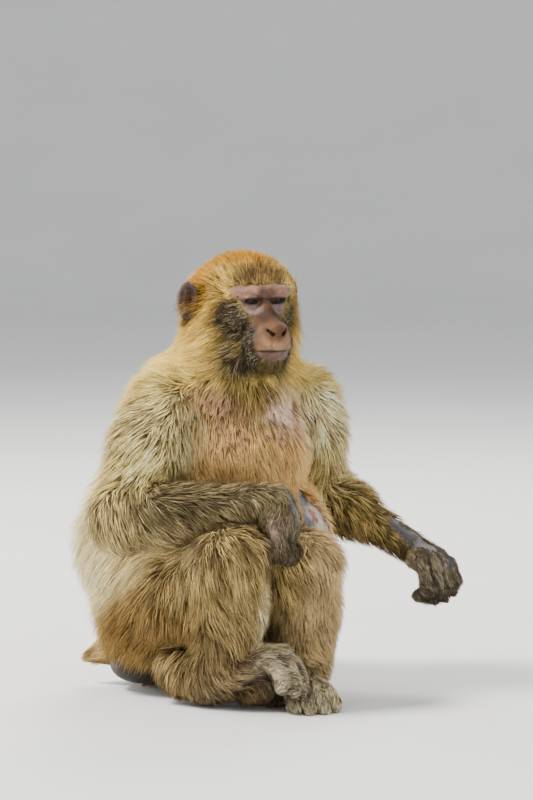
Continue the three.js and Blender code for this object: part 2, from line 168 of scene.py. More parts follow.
def trunk_masses():
    down_back = (0, 0.15, -1)
    down_front = (0, -0.1, -1)
    return [
        Mass("rump", (0, 0.35, -1), 17, v(0, 22, 84), v(80, 95, 90)),
        Mass("lower_back", (0, 0.25, -1), 23, v(4, 10, 152), v(121, 130, 104)),
        Mass("belly", down_front, 13, v(22, -58, 192), v(90, 72, 58)),
        Mass("belly", down_front, 10, v(62, -80, 168), v(52, 58, 46)),
        Mass("rump", (0, 0.35, -1), 4, v(-40, 32, 28), v(35, 37, 24)),
        Mass("rump", (0, 0.35, -1), 4, v(40, 32, 28), v(35, 37, 24)),
        Mass("lower_back", (0, 0.25, -1), 24, v(2, 22, 212), v(90, 96, 62)),
        Mass("upper_back", down_back, 24, v(2, -4, 250), v(92, 92, 86)),
        Mass("chest", down_front, 13, v(4, -48, 256), v(98, 92, 86)),
        Mass("withers", (0, 0.3, -1), 19, v(2, -56, 319), v(98, 80, 55)),
        Mass("neck", (0, 0.45, -1), (22, 19), ends=(v(4, -66, 332), v(4, -76, 392), 76, 58)),
    ]


def arm_masses(side, fore_radius):
    shoulder, elbow, wrist = ARMS[side].values()
    upper = unit(elbow - shoulder) + v(0, 0.25, -0.15)
    fore = unit(wrist - elbow) + v(0, 0, -0.7)
    biceps = shoulder + 0.35 * (elbow - shoulder)
    belly = elbow + 0.3 * (wrist - elbow)
    return [
        Mass("upper_arm", upper, (14, 12), ends=(shoulder, elbow, 46, 35)),
        Mass("upper_arm", upper, 14, biceps, v(45, 45, 45)),
        Mass("forearm", fore, (12, 6), ends=(elbow, wrist, fore_radius, 20)),
        Mass("forearm", fore, 11, belly, v(34, 34, 34)),
    ]


def leg_masses(side, ankle_radius):
    hip, knee, ankle, heel = LEGS[side].values()
    calf = knee + 0.45 * (ankle - knee) + v(11, 12, 0)
    thigh = v(0.1, -0.12, -1)
    shin = v(0.12, -0.4, -1)
    return [
        Mass("thigh", thigh, (16, 14), ends=(hip, knee, 59, 42)),
        Mass("thigh", thigh, 16, hip + 0.45 * (knee - hip), v(56, 62, 62)),
        Mass("shin", shin, (12, 9), ends=(knee, ankle, 40, ankle_radius)),
        Mass("shin", shin, 10, calf, v(37, 36, 42)),
        Mass("shin", shin, (10, 4), ends=(calf, heel, 34, 22)),
    ]


BLEND = 16  # how softly the masses of the body join
TAIL_HAIR = Mass("tail_hair", (-0.8, 0.55, -0.3), 14, v(-38, 90, 34), v(25, 25, 18))
MASSES = [
    *trunk_masses(),
    *arm_masses("right", 38),
    *arm_masses("left", 33),
    *leg_masses("right", 30),
    # Fills the hollow between haunch and heel.
    Mass("shin", (0, -0.1, -1), (14, 12), ends=(v(-62, -62, 36), v(-37, -126, 36), 34, 27)),
    *leg_masses("left", 31),
]

# ------------------------------------------------------------------ hands and feet


def digit_points(base, direction, back, bones, bends):
    """The joints of a digit: each bone turns further towards the palm, which faces against "back"."""
    points, bend = [base], 0
    for length, turn in zip(bones, bends):
        bend += math.radians(turn)
        points.append(points[-1] + length * (direction * math.cos(bend) - back * math.sin(bend)))
    return points


class Paw:
    """A hand or a foot: a palm, four digits and a thumb, each a chain of round bones."""

    def __init__(self, wrist, onward, back, side, palm, digits, thumb):
        self.palm, self.wrist = palm, wrist
        self.ahead = unit(onward)
        self.top = unit(back - (back @ self.ahead) * self.ahead)
        self.aside = np.cross(self.top, self.ahead) * side
        self.thick = digits["thick"]
        self.chains = []
        for row, share in zip((1.5, 0.5, -0.5, -1.5), digits["shares"]):
            base = self.place(palm["length"] * (0.9 - 0.05 * abs(row)), row * palm["width"] / 4.1)
            way = unit(self.ahead + self.aside * row * 0.06)
            bones = [bone * share for bone in digits["bones"]]
            self.chains.append(digit_points(base, way, self.top, bones, digits["bends"]))
        way = self.ahead * math.cos(thumb["angle"]) + self.aside * math.sin(thumb["angle"])
        base = self.place(palm["length"] * thumb["at"], palm["width"] * 0.34, -palm["thick"] * 0.2)
        self.chains.append(digit_points(base, way, self.top, thumb["bones"], thumb["bends"]))

    def place(self, far, wide, high=0):
        return self.wrist + self.ahead * far + self.aside * wide + self.top * high

    def along(self, points):
        """How far points lie from the wrist or heel towards the digits."""
        return (points - self.wrist) @ self.ahead

    def distance(self, points, bare):
        less = PAW_COAT if bare else 0
        axes = np.array([self.ahead, self.aside, self.top])
        length, width, thick = self.palm.values()
        q = (points - self.place(length / 2, 0)) @ axes.T
        total = ball(q, v(0, 0, 0), v(length * 0.62, width / 2, thick / 2) - less)
        for chain in self.chains:
            total = smooth_min(total, self.digit(points, chain, less), 2.2)
        return total

    def digit(self, points, chain, less):
        """A digit: bones a little thinner than its joints, and a full pad at the tip."""
        full = self.thick - less
        parts = [limb(points, a, b, full * 0.97, full * 0.84) for a, b in zip(chain, chain[1:])]
        way = unit(chain[-1] - chain[-2])
        tip = norm(points - chain[-1] + way * full * 0.55) - full * 0.93
        return joined([*parts, tip], 1.5)


PAW_COAT = 1.6  # depth of the coat on hands and digits
HAND = {
    "palm": {"length": 46, "width": 45, "thick": 28},
    "thumb": {"bones": (18, 14), "bends": (35, 25), "at": 0.35, "angle": 0.26},
}
FINGERS = {"bones": (24, 17, 12), "shares": (0.92, 1, 0.98, 0.84), "thick": 8.2}
TOES = {"bones": (22, 15, 9), "shares": (0.9, 1, 0.96, 0.84), "thick": 8.8}
HAND_WAYS = {"right": unit(v(0.1, -0.1, -1)), "left": unit(v(-0.175, -0.95, -0.25))}


def make_foot(side, sign, bends, thumb_angle):
    heel = LEGS[side]["heel"]
    sole = FOOT_ROOTS[side] - heel
    palm = {"length": math.sqrt(sole @ sole) + 8, "width": 46, "thick": 34}
    thumb = {"bones": (24, 14), "bends": (10, 16), "at": 0.42, "angle": thumb_angle}
    return Paw(heel, sole, UPWARD, sign, palm, {**TOES, "bends": bends}, thumb)


FOOT_ROOTS = {"right": v(-23, -165, 57), "left": v(22, -165, 17)}
PAWS = {
    "hand_right": Paw(ARMS["right"]["wrist"], HAND_WAYS["right"], v(0.5, -0.85, 0), 1,
                      {**HAND["palm"], "length": 42, "thick": 40},
                      {**FINGERS, "bends": (-12, 115, 60)}, HAND["thumb"]),
    "hand_left": Paw(ARMS["left"]["wrist"], HAND_WAYS["left"], UPWARD, -1,
                     HAND["palm"], {**FINGERS, "bends": (45, 65, 50)},
                     {**HAND["thumb"], "bends": (25, 20), "angle": -0.7}),
    "foot_right": make_foot("right", 1, (46, 42, 30), 0.3),
    "foot_left": make_foot("left", -1, (6, 14, 14), 0.6),
}
FOOT_COAT = 3
ARCH = v(-24, -136, 22), v(21, 24, 19)  # centre and radii of a mass that fills the right foot's arch; painted dark, it stands in for the shade under the arch


def foot_core(points, side, bare):
    """Heel and instep, which join the foot to the shin."""
    less = FOOT_COAT if bare else 0
    _, _, ankle, heel = LEGS[side].values()
    heel_ball = ball(points, heel + v(0, 2, 0), v(22, 24, 23) - less)
    front = heel + 0.62 * (FOOT_ROOTS[side] - heel) + v(0, 0, 4)
    core = smooth_min(heel_ball, limb(points, ankle + v(0, 2, 16), front, 26 - less, 18 - less), 6)
    # The right foot's arch is filled with a mass that stands in for the shade under it.
    if side == "right":
        core = smooth_min(core, ball(points, ARCH[0], ARCH[1] - less), 6)
    return core


# ------------------------------------------------------------------ head


def mirrored(h):
    """Head-frame points folded on to the left half of the head."""
    return np.stack([h[:, 0], np.abs(h[:, 1]), h[:, 2]], axis=1)


def skull_distance(h, bare):
    """The skull and its ruff, without the depth of their coat if bare."""
    less = v(9, 9, 9) if bare else v(0, 0, 0)
    ruff = 14 if bare else 0
    m = mirrored(h)
    parts = [
        ball(h, v(-6, 0, 4), v(57, 50, 49) - less),
        ball(h, v(14, 3, 8), v(42, 53, 41) - less * v(1, 1.3, 1.3)),
        ball(m, v(-28, 38 - ruff, -2), v(24, 26, 34) - less),
        ball(m, v(-2, 33 - ruff * 0.6, -30), v(40, 36, 42) - ruff * 0.8),
        ball(h, v(2, 0, -42), v(48, 52, 34) - ruff),
        ball(h, v(26, 0, -60), v(32, 34, 24) - ruff * 0.7),
    ]
    if not bare:  # hair before and below the left ear
        parts += [ball(h, v(12, 34, -4), v(30, 27, 36)), ball(h, v(0, 42, -42), v(36, 34, 32))]
    return joined(parts, HEAD_BLEND)


def face_distance(h):
    """The bare face as a whole, without its eyes, nostrils and mouth."""
    return joined([
        ball(h, v(36, 0, -8), v(24, 33, 30)),
        ball(h, v(42, 0, 13), v(15, 36, 8)),
        limb(h, v(50, 0, -13), v(66, 0, -30), 12.5, 17),
        ball(h, v(60, 0, -37), v(25.5, 24.5, 18)),
        ball(h, v(54, 0, -56), v(24, 21, 15)),
        ball(mirrored(h), v(44, 22, -14), v(12, 10, 9)),
    ], FACE_BLEND)


def outer_head(h):
    return smooth_min(skull_distance(h, False), face_distance(h), FACE_TO_RUFF)


NOSTRIL = v(84.8, 5, -28.5), v(81, 10, -24)  # the left one's ends


def eye_opening(h):
    """Negative between the lids. The slit is almond-shaped; the left one rises towards its outer corner."""
    m = mirrored(h)
    across = m[:, 1] - EYE_ASIDE
    height = m[:, 2] - EYE_UP - np.where(h[:, 1] > 0, 0.24, 0.02) * across
    upper = 2.3 - 0.034 * across**2
    lower = 2.7 - 0.036 * (across + 0.5) ** 2
    almond = np.maximum(height - upper, -height - lower)
    return np.maximum(almond, EYE_AHEAD + 2 - h[:, 0])


# Creases pressed into the face, on both sides: from, to, how deep and how wide.
FACE_LINES = [
    ((73, 14, -28), (64, 25, -42), 1.1, 2.4),  # from the nose to the corner of the mouth
    ((56, 8, -8), (51, 24, -9), 0.9, 1.5),  # under the eye
    ((59, 10, -13), (50, 25, -15), 0.6, 1.4),
    ((87, 0, -32), (86.5, 0, -41), 0.9, 1.5),  # philtrum
    ((58, 0, 9), (57, 0, 2), 0.9, 2),  # between the brows
    ((59, 5, 5), (58, 8, -1), 0.8, 1.6),
    ((63, 8, -6), (75, 10, -17), 0.7, 1.8),  # side of the bridge
    ((72, 0, -13), (71, 8, -13), 0.4, 1.2),  # across the nose
    ((77, 0, -17), (76, 8, -17), 0.4, 1.2),
    ((85, 5, -36), (84, 6, -43), 0.5, 1),  # in the upper lip
    ((82, 10, -34), (81, 11, -43), 0.5, 1),
    ((77, 15, -34), (76, 16, -43), 0.5, 1),
    ((72, 19, -36), (71, 20, -44), 0.5, 1),
    ((57, 3, 15), (46, 28, 15), 0.4, 1.2),  # along the brow
    ((57, 6, 10), (47, 28, 9), 0.35, 1),
]


def bare_head(points):
    """The skin of the head: skull and face, with brow, sockets, lids, nose, lips and ears."""
    h = head_frame(points)
    m = mirrored(h)
    total = smooth_min(skull_distance(h, True), face_distance(h) + 0.6, FACE_TO_RUFF)
    total = smooth_min(total, limb(m, v(-8, 34, -4), v(-7, 50, -3), 9, 6), 4)

    # Brow: a bar that overhangs the eyes, lowest between them and raised over the left one.
    lift = 0.1 * np.clip(h[:, 1], -10, 30)
    b = m - lift[:, None] * UPWARD
    inner, outer = v(52.5, 9, 12), v(41, 31, 10)
    brow = joined([limb(b, v(53.5, 0, 10.5), inner, 6.2, 6.6), limb(b, inner, outer, 6.6, 5.8)], 3)
    total = smooth_min(total, brow, 4)

    # Sockets, then the lids as a thin shell over each eyeball, open at the slit.
    eye = v(EYE_AHEAD, EYE_ASIDE, EYE_UP)
    socket = ball(m, eye + v(11, 0.5, -1), v(9, 12, 8))
    total = smooth_max(total, -socket, 4)
    from_eye = norm(m - eye)
    total = smooth_min(total, from_eye - EYE_RADIUS - 1.5, 2.5)
    bag = limb(m, eye + v(6, -8, -8.5), eye + v(3.5, 9, -8), 2.6, 2.2)
    total = smooth_min(total, bag, 3)
    slit = np.maximum(eye_opening(h), EYE_RADIUS - 0.8 - from_eye)
    total = smooth_max(total, -slit, 0.8)

    # Nose: wings beside two slanting nostrils.
    wing = limb(m, v(77, 9, -24), v(83, 5, -29), 5, 3.6)
    bridge = limb(h, v(57, 0, -9), v(79, 0, -23), 7.5, 7.5)
    total = joined([total, wing, bridge], 5)
    total = smooth_max(total, -limb(m, *NOSTRIL, 2.3, 1.3), 1)

    # Lips: a full lower lip, and a line that runs round the muzzle.
    lower_lip = limb(m, v(78, 0, -50), v(67, 17, -49), 5, 4)
    upper_lip = limb(m, v(80, 0, -40), v(68, 18, -41), 6.5, 5)
    total = joined([total, lower_lip, upper_lip], 4)
    line = np.minimum(limb(m, v(86.5, 0, -45.3), v(79, 15, -46), 1.1, 1.1),
                      limb(m, v(79, 15, -46), v(62, 25, -48), 1.1, 0.8))
    total = smooth_max(total, -line, 1.5)

    for start, end, depth, width in FACE_LINES:
        away = np.maximum(limb(m, v(*start), v(*end), 0, 0), 0)
        total += depth * np.exp(-(away / width) ** 2)
    return smooth_min(total, ear_distance(points, True), 3)


def ear_distance(points, bare):
    """Both ears: a plate that faces sideways and a little forward, with a rolled rim round its bowl."""
    total = np.full(len(points), FAR)
    for side, ahead, left in ((1, -12, 57), (-1, -8, -54)):  # left, right
        flare = HEAD_TURN - math.radians(38) * side
        c, n = math.cos(flare), math.sin(flare)
        q = (points - on_head(ahead, left, 1)) @ np.array([[c, n, 0], [-n, c, 0], [0, 0, 1]]).T
        shape = ball(q, v(4 * side, 0, 0), v(6, 12.5, 20))
        if bare:
            bowl = ball(q, v(10 * side, -2, 1), v(7, 9.5, 15.5))
            fold = limb(q, v(6 * side, 1, 10), v(5 * side, 4, -7), 2, 1.6)
            shape = smooth_min(smooth_max(shape, -bowl, 2), fold, 2)
        total = np.minimum(total, shape)
    return total


# ------------------------------------------------------------------ whole fields


def flesh_distance(points, bare):
    """Trunk and limbs without hands, feet and head."""
    total = joined([mass.distance(points, bare) for mass in MASSES], BLEND)
    if not bare:
        total = smooth_min(total, TAIL_HAIR.distance(points, False), BLEND)
    return total


def near(points, centre, reach):
    return ((points - centre) ** 2).sum(1) < reach**2


def combined(points, bare):
    """Distance to the skin if bare, otherwise to the tips of the coat."""
    total = flesh_distance(points, bare)
    for name, paw in PAWS.items():
        at = near(points, paw.place(paw.palm["length"] * 0.6, 0), 95)
        if at.any():
            local = points[at]
            shape = paw.distance(local, bare)
            if name.startswith("foot"):
                shape = smooth_min(shape, foot_core(local, name[5:], bare), 4)
            total[at] = smooth_min(total[at], shape, 5)
    at = near(points, EAR_AXIS + v(0, 0, -10), 115)
    if at.any():
        local = points[at]
        head = bare_head(local) if bare else smooth_min(
            outer_head(head_frame(local)), ear_distance(local, False), 2)
        total[at] = smooth_min(total[at], head, 10)
    return np.maximum(total, -points[:, 2])


def in_chunks(function, points, size=400000):
    return np.concatenate([function(points[i:i + size]) for i in range(0, len(points), size)])


def skin_distance(points):
    return in_chunks(lambda p: combined(p, True), points)


def coat_distance(points):
    return in_chunks(lambda p: combined(p, False), points)


def gradient(distance, points, step):
    ends = [distance(points + step * axis) - distance(points - step * axis) for axis in np.eye(3)]
    return np.stack(ends, axis=1) / (2 * step)


# ------------------------------------------------------------------ polygons from a field


def surface_net(distance, low, high, cell):
    """A closed quad mesh of the zero surface, one point in each cell that the surface crosses."""
    coarse = 4  # the field is sampled this sparsely first, and in full only close to the surface
    shape = np.ceil((high - low) / (cell * coarse)).astype(int) * coarse + 1
    axes = [low[i] + cell * np.arange(0, shape[i], coarse) for i in range(3)]
    field = distance(np.stack(np.meshgrid(*axes, indexing="ij"), -1).reshape(-1, 3))
    field = field.reshape([len(axis) for axis in axes])
    for axis in range(3):
        field = np.repeat(field, coarse, axis)
    half = coarse // 2  # each coarse node speaks for the fine nodes around it
    field = field[tuple(slice(half, half + n) for n in shape)]
    close = np.abs(field) < cell * coarse * 1.8
    field = field.astype(np.float32)
    field[close] = distance(low + cell * np.argwhere(close))
    inside = field < 0

    cells = [n - 1 for n in shape]
    corners = np.zeros(cells, np.int8)
    for i, j, k in np.ndindex(2, 2, 2):
        corners += inside[i:i + cells[0], j:j + cells[1], k:k + cells[2]]
    at = np.argwhere((corners > 0) & (corners < 8))
    total, count = np.zeros((len(at), 3)), np.zeros(len(at))
    for axis, onward in enumerate(np.eye(3, dtype=int)):
        for sides in np.ndindex(2, 2):
            start = at + np.insert(sides, axis, 0)
            f0, f1 = field[tuple(start.T)], field[tuple((start + onward).T)]
            crossed = (f0 < 0) != (f1 < 0)
            t = f0 / np.where(crossed, f0 - f1, 1)
            total[crossed] += (start + t[:, None] * onward)[crossed]
            count[crossed] += 1
    points = low + cell * total / count[:, None]
    number = np.full(cells, -1, np.int64)
    number[tuple(at.T)] = np.arange(len(at))

    quads = []
    for axis in range(3):
        b, c = (axis + 1) % 3, (axis + 2) % 3
        before = [slice(1, n - 1) for n in shape]
        after = list(before)
        before[axis], after[axis] = slice(0, shape[axis] - 1), slice(1, shape[axis])
        f0, f1 = inside[tuple(before)], inside[tuple(after)]
        edges = np.argwhere(f0 != f1)
        outward = f0[tuple(edges.T)]
        ring = []
        for db, dc in ((0, 0), (1, 0), (1, 1), (0, 1)):
            around = edges.copy()
            around[:, b] += db
            around[:, c] += dc
            ring.append(number[tuple(around.T)])
        ring = np.stack(ring, axis=1)
        quads.append(np.where(outward[:, None], ring, ring[:, ::-1]))
    return points, np.concatenate(quads)


def projected(points, distance, rounds, step):
    """Points moved along the gradient on to the zero surface."""
    for _ in range(rounds):
        slope = gradient(distance, points, step)
        length2 = np.maximum((slope * slope).sum(1), 0.2)
        move = (distance(points) / length2)[:, None] * slope
        points = points - move / np.maximum(norm(move) / 2, 1)[:, None]
    return points


# ------------------------------------------------------------------ noise and colours


def noise(points, scale, seed):
    """Smooth noise between -1 and 1, from random values on a lattice that repeats every 32 cells."""
    size = 32
    lattice = np.random.default_rng(seed).uniform(-1, 1, (size, size, size))
    q = points / scale + 100
    base = np.floor(q).astype(int)
    t = q - base
    t = t * t * (3 - 2 * t)
    total = 0
    for i, j, k in np.ndindex(2, 2, 2):
        corner = np.abs(1 - v(i, j, k) - t).prod(1)
        cell = (base + (i, j, k)) % size
        total = total + corner * lattice[tuple(cell.T)]
    return total


def srgb(r, g, b):
    """A colour seen as 0 to 255, as the linear values that a material takes."""
    c = v(r, g, b) / 255
    return np.where(c < 0.04045, c / 12.92, ((c + 0.055) / 1.055) ** 2.4)


CREAM = srgb(250, 228, 176)
PALE_GOLD = srgb(238, 210, 148)
RUFF_GOLD = srgb(222, 184, 96)
GOLD = srgb(206, 177, 97)
TEMPLE_GOLD = srgb(176, 143, 72)
OLIVE_GOLD = srgb(233, 206, 136)
DULL_OLIVE = srgb(140, 124, 88)
ORANGE_GOLD = srgb(132, 97, 42)
ORANGE_BROWN = srgb(140, 97, 20)
BUFF = srgb(240, 194, 126)
# The left leg's own pale colour, made paler still as painted light.
LEFT_LEG = srgb(208, 179, 128)
GREY_BUFF = srgb(186, 172, 142)
GREY_BROWN = srgb(116, 106, 88)
DARK_FLECK = srgb(70, 58, 40)
DARK_CHEEK = srgb(62, 53, 40)
BROWN = srgb(112, 86, 54)

BARE_PINK = srgb(220, 184, 160)
BARE_TAN = srgb(216, 172, 134)
BARE_BROW = srgb(140, 100, 84)
BARE_LID = srgb(122, 102, 94)
BARE_BRIDGE = srgb(58, 31, 4)
BARE_NOSE = srgb(92, 57, 26)
BARE_MUZZLE = srgb(139, 102, 68)
BARE_LIP = srgb(100, 68, 57)
BARE_DARK = srgb(76, 56, 42)
BARE_EAR = srgb(52, 28, 17)
BARE_HAND = srgb(80, 66, 56)
BARE_BLUE = srgb(112, 116, 128)
BARE_PALM = srgb(116, 97, 84)
BARE_PALE = srgb(196, 184, 172)
BARE_GREY = srgb(80, 74, 77)
CALLUS = srgb(28, 21, 15)
RED_PATCH = srgb(176, 112, 100)

MASS_COLOURS = {
    "rump": ORANGE_GOLD,
    "lower_back": PALE_GOLD,
    "belly": BUFF,
    "upper_back": OLIVE_GOLD,
    "chest": BUFF,
    "withers": GOLD,
    "neck": GOLD,
    "upper_arm": OLIVE_GOLD,
    "forearm": srgb(148, 131, 94),
    "thigh": srgb(190, 162, 104),
    "shin": srgb(146, 124, 82),
    "hand": GREY_BROWN,
    "foot": GREY_BUFF,
}
KINDS = list(MASS_COLOURS)


def mix(a, b, share):
    """From a to b, which are colours or directions in rows."""
    return mix1(a, b, np.asarray(share)[..., None])


def mix1(a, b, share):
    """mix for plain numbers, one for each tuft."""
    return a * (1 - share) + b * share


def layered(colour, layers):
    """A colour with others laid over it, each with how much of it shows."""
    for layer, share in layers:
        colour = mix(colour, layer, share)
    return colour


def region_weights(points):
    """For each of the KINDS of mass, how much a point belongs to it. Rows add up to 1."""
    nearest = {kind: np.full(len(points), FAR) for kind in KINDS}
    for kind, shape in [(m.name, m) for m in MASSES] + [(name[:4], paw) for name, paw in PAWS.items()]:
        nearest[kind] = np.minimum(nearest[kind], shape.distance(points, False))
    distances = np.stack(list(nearest.values()), axis=1)
    weights = np.exp(-(distances - distances.min(1, keepdims=True)) / 7)
    return weights / weights.sum(1, keepdims=True)


def share_of(weights, *kinds):
    return sum(weights[:, KINDS.index(kind)] for kind in kinds)


def spot(h, ahead, left, up, depth, width, height, soft=0.35):
    """1 inside an ellipsoid of the head, falling to 0 over a soft border."""
    return place_spot(h, v(ahead, left, up), v(depth, width, height), soft)


def place_spot(points, centre, radii, soft=0.35):
    return 1 - smoothstep(norm((points - centre) / radii), 1 - soft, 1 + soft)


def head_share(points):
    """1 on the head, falling to 0 on the neck."""
    h = head_frame(points)
    return smoothstep(h[:, 2] + 0.25 * np.abs(h[:, 1]) + 0.25 * np.clip(h[:, 0] - 30, 0, 40), -74, -54)


def coat_colour(points, normals):
    """The colour of the hair at the root points, before the variation of single tufts."""
    weights = region_weights(points)
    x, y, z = points.T
    # back: how much a point faces back and to the right, above the waist; it gets painted rim light below
    back = smoothstep(normals @ unit(v(-0.4, 1, 0.1)), 0.45, 0.95) * smoothstep(z, 110, 165)
    # low: the lower body below the waist, away from the front, which gets painted shade below
    low = smoothstep(z, 150, 90) * smoothstep(y, -70, -10) * (1 - 0.7 * smoothstep(y, 30, 90))
    left_side = smoothstep(x, 40, 90) * smoothstep(z, 230, 300)
    forearm = share_of(weights, "forearm") * smoothstep(x, 100, 130)

    def at(centre, radii):
        return place_spot(points, v(*centre), v(*radii))

    layers = [
        # The left leg paler than the right: its own pale colour with painted light.
        (LEFT_LEG, share_of(weights, "shin", "thigh") * smoothstep(x, 8, 24)),
        # Painted rim light: cream where the body faces back and to the right, above the waist.
        (CREAM, 0.5 * back),
        (BROWN, 0.6 * at((-16, -120, 330), (40, 30, 26))),  # throat
        # Painted shade in the crease of the right elbow, between upper arm and forearm.
        (DULL_OLIVE, 0.8 * at((-112, -104, 216), (44, 40, 18))),
        (DARK_FLECK, 0.7 * at((-116, -100, 211), (26, 34, 9))),
        # Partly the rump's own orange, partly painted shade: the lower body darker and more orange.
        (ORANGE_GOLD, 0.6 * low),
        (ORANGE_GOLD * 0.75, 0.65 * at((-88, -50, 98), (40, 62, 40))),  # right haunch, darker: partly its own orange, partly painted shade
        (DARK_FLECK * 0.6, 0.85 * at((-64, 12, 26), (36, 50, 20))),  # painted shade along its lower edge, by the floor
        (CREAM, 0.6 * at((-108, 40, 150), (36, 50, 60))),  # painted rim light on the right flank
        (CREAM, 0.35 * at((-96, -84, 290), (40, 30, 40))),  # painted light on the right shoulder
        (CREAM, 0.8 * left_side * (1 - head_share(points))),
        (GOLD, 0.6 * forearm),
        # Painted shade on the underside of the left forearm, where it faces down.
        (BROWN * 0.6, 0.8 * forearm * smoothstep(-normals[:, 2], -0.5, 0.2)),
        *((skin, 0.5 * patch(points, place, reach * 1.7)) for place, reach, skin, _ in PATCHES),
        (CREAM, 0.6 * at((-32, -160, 106), (17, 30, 52))),  # right shin, towards the left leg
    ]
    for foot, side, cream in ((PAWS["foot_right"], -1, 0.1), (PAWS["foot_left"], 1, 0.9)):
        on = share_of(weights, "foot") * (np.sign(x - 14) == side)
        layers += [
            (BROWN, 0.6 * on * smoothstep(foot.along(points), 62, 22)),
            (CREAM, cream * on * smoothstep(foot.along(points), 50, 90)),
        ]
    layers += [
        (BROWN * 0.4, 0.7 * at((-28, -134, 10), (34, 34, 26))),  # painted shade under the right foot
        (GREY_BUFF, 0.6 * at((200, -150, 127), (24, 30, 16))),  # back of the left hand
    ]
    for hand, reach, share in ((PAWS["hand_right"], 40, 0.65), (PAWS["hand_left"], 46, 0.3)):
        fingers = smoothstep(hand.along(points), reach - 5, reach + 5)
        layers.append((DARK_FLECK, share * fingers * (hand.distance(points, False) < 6)))
    # Painted shade in the grooves between the digits.
    layers.append((DARK_FLECK * 0.5, 0.75 * digit_gaps(points)))
    layers.append((head_colour(points), head_share(points)))
    return layered(weights @ np.array(list(MASS_COLOURS.values())), layers)


def digit_gaps(points):
    """1 in the grooves between the fingers and toes."""
    total = np.zeros(len(points))
    for paw in PAWS.values():
        first, second = np.sort([paw.digit(points, chain, 0) for chain in paw.chains[:4]], axis=0)[:2]
        length = paw.palm["length"]
        beyond = smoothstep(paw.along(points), 0.7 * length, 0.95 * length)
        total = np.maximum(total, beyond * smoothstep(second - first, 3.5, 1) * (first < 8))
    return total


def head_colour(points):
    h = head_frame(points)
    m = mirrored(h)
    return layered(np.broadcast_to(GOLD, points.shape), [
        (TEMPLE_GOLD, spot(m, 26, 44, -4, 30, 26, 34)),
        (ORANGE_BROWN, spot(h, 0, 0, 46, 52, 46, 30)),
        (ORANGE_BROWN, 0.9 * spot(m, -4, 48, 14, 28, 22, 26)),
        (ORANGE_BROWN, 0.7 * spot(m, 0, 30, 32, 30, 20, 20)),
        (BROWN, 0.9 * spot(h, 52, 0, 24, 20, 31, 12)),  # over the brow
        (RUFF_GOLD, spot(m, 4, 48, -38, 30, 26, 34)),
        (DARK_CHEEK, spot(m, 51, 26, -41, 25, 13, 40)),
        (DARK_CHEEK, spot(m, 72, 21, -38, 20, 10, 34)),
        (DARK_CHEEK, 0.88 * spot(h, 68, 0, -60, 26, 26, 12)),
        (DARK_CHEEK, spot(m, 42, 31, -14, 18, 9, 20)),
        (BROWN * 0.7, 0.8 * spot(m, -4, 54, 2, 12, 12, 20)),  # before the ears
        (CREAM, 0.35 * spot(m, -22, 56, -10, 15, 16, 26)),  # behind them
        (CREAM, 0.45 * spot(h, 12, 56, -22, 26, 14, 44)),  # edge of the left ruff
    ])


# ------------------------------------------------------------------ the skin

SKIN_CELL = 2.6
MARGIN = 8  # of the block that is searched for the skin, round the CAD's box
BAKE_MAP = "OFBake"


def mesh_object(name, points, faces):
    mesh = bpy.data.meshes.new(name)
    mesh.from_pydata(points.tolist(), [], faces)
    mesh.shade_smooth()
    return linked(name, mesh)


def linked(name, data):
    obj = bpy.data.objects.new(name, data)
    bpy.context.collection.objects.link(obj)
    return obj


def listed(members, name, width, kind=float):
    """A property of all members of a mesh's collection, one row for each."""
    flat = np.empty(len(members) * width, kind)
    members.foreach_get(name, flat)
    return flat.reshape(-1, width)


def vertex_array(mesh):
    return listed(mesh.vertices, "co", 3) / MM


def refine(obj, wanted):
    """Splits the edges of the faces whose middles are wanted."""
    bm = bmesh.new()
    bm.from_mesh(obj.data)
    chosen = wanted(np.array([f.calc_center_median() for f in bm.faces]) / MM)
    edges = {e for f, take in zip(bm.faces, chosen) if take for e in f.edges}
    bmesh.ops.subdivide_edges(bm, edges=list(edges), cuts=1, use_grid_fill=True)
    bm.to_mesh(obj.data)
    bm.free()


def face_area(points, begins, half_width, low, high):
    """True in a block about the face, given in the head's frame."""
    ahead, left, up = head_frame(points).T
    return (ahead > begins) & (np.abs(left) < half_width) & (up > low) & (up < high)


def features(points):
    """Close to the lids, the nostrils and the line between the lips."""
    m = mirrored(head_frame(points))
    lids = limb(m, v(53, 8, EYE_UP), v(49, 23, EYE_UP), 5.5, 5.5)
    mouth = limb(m, v(86, 0, -45), v(76, 18, -46), 2.5, 2.5)
    return (lids < 0) | (limb(m, *NOSTRIL, 4.5, 4) < 0) | (mouth < 0)


def paw_area(points):
    return np.any([paw.distance(points, True) < 3 for paw in PAWS.values()], axis=0)


def make_skin():
    low = np.array(CAD_BOX[0]) / MM - MARGIN
    high = np.array(CAD_BOX[1]) / MM + MARGIN
    points, quads = surface_net(skin_distance, low, high, SKIN_CELL)
    skin = mesh_object("skin", points * MM, quads.tolist())
    unwrap(skin)
    refine(skin, lambda p: face_area(p, 22, 48, -74, 26) | paw_area(p))
    refine(skin, lambda p: face_area(p, 40, 32, -58, 18))
    refine(skin, features)
    points = projected(vertex_array(skin.data), skin_distance, 2, 0.3)
    points[:, 2] = np.maximum(points[:, 2], 0)
    skin.data.vertices.foreach_set("co", (points * MM).ravel())
    skin.data.update()
    return skin


def unwrap(obj):
    bpy.context.view_layer.objects.active = obj
    obj.select_set(True)
    obj.data.uv_layers.new(name=BAKE_MAP)
    bpy.ops.object.mode_set(mode="EDIT")
    bpy.ops.mesh.select_all(action="SELECT")
    bpy.ops.uv.smart_project(angle_limit=math.radians(66), island_margin=0.001)
    bpy.ops.object.mode_set(mode="OBJECT")
    obj.select_set(False)


# ------------------------------------------------------------------ the coat

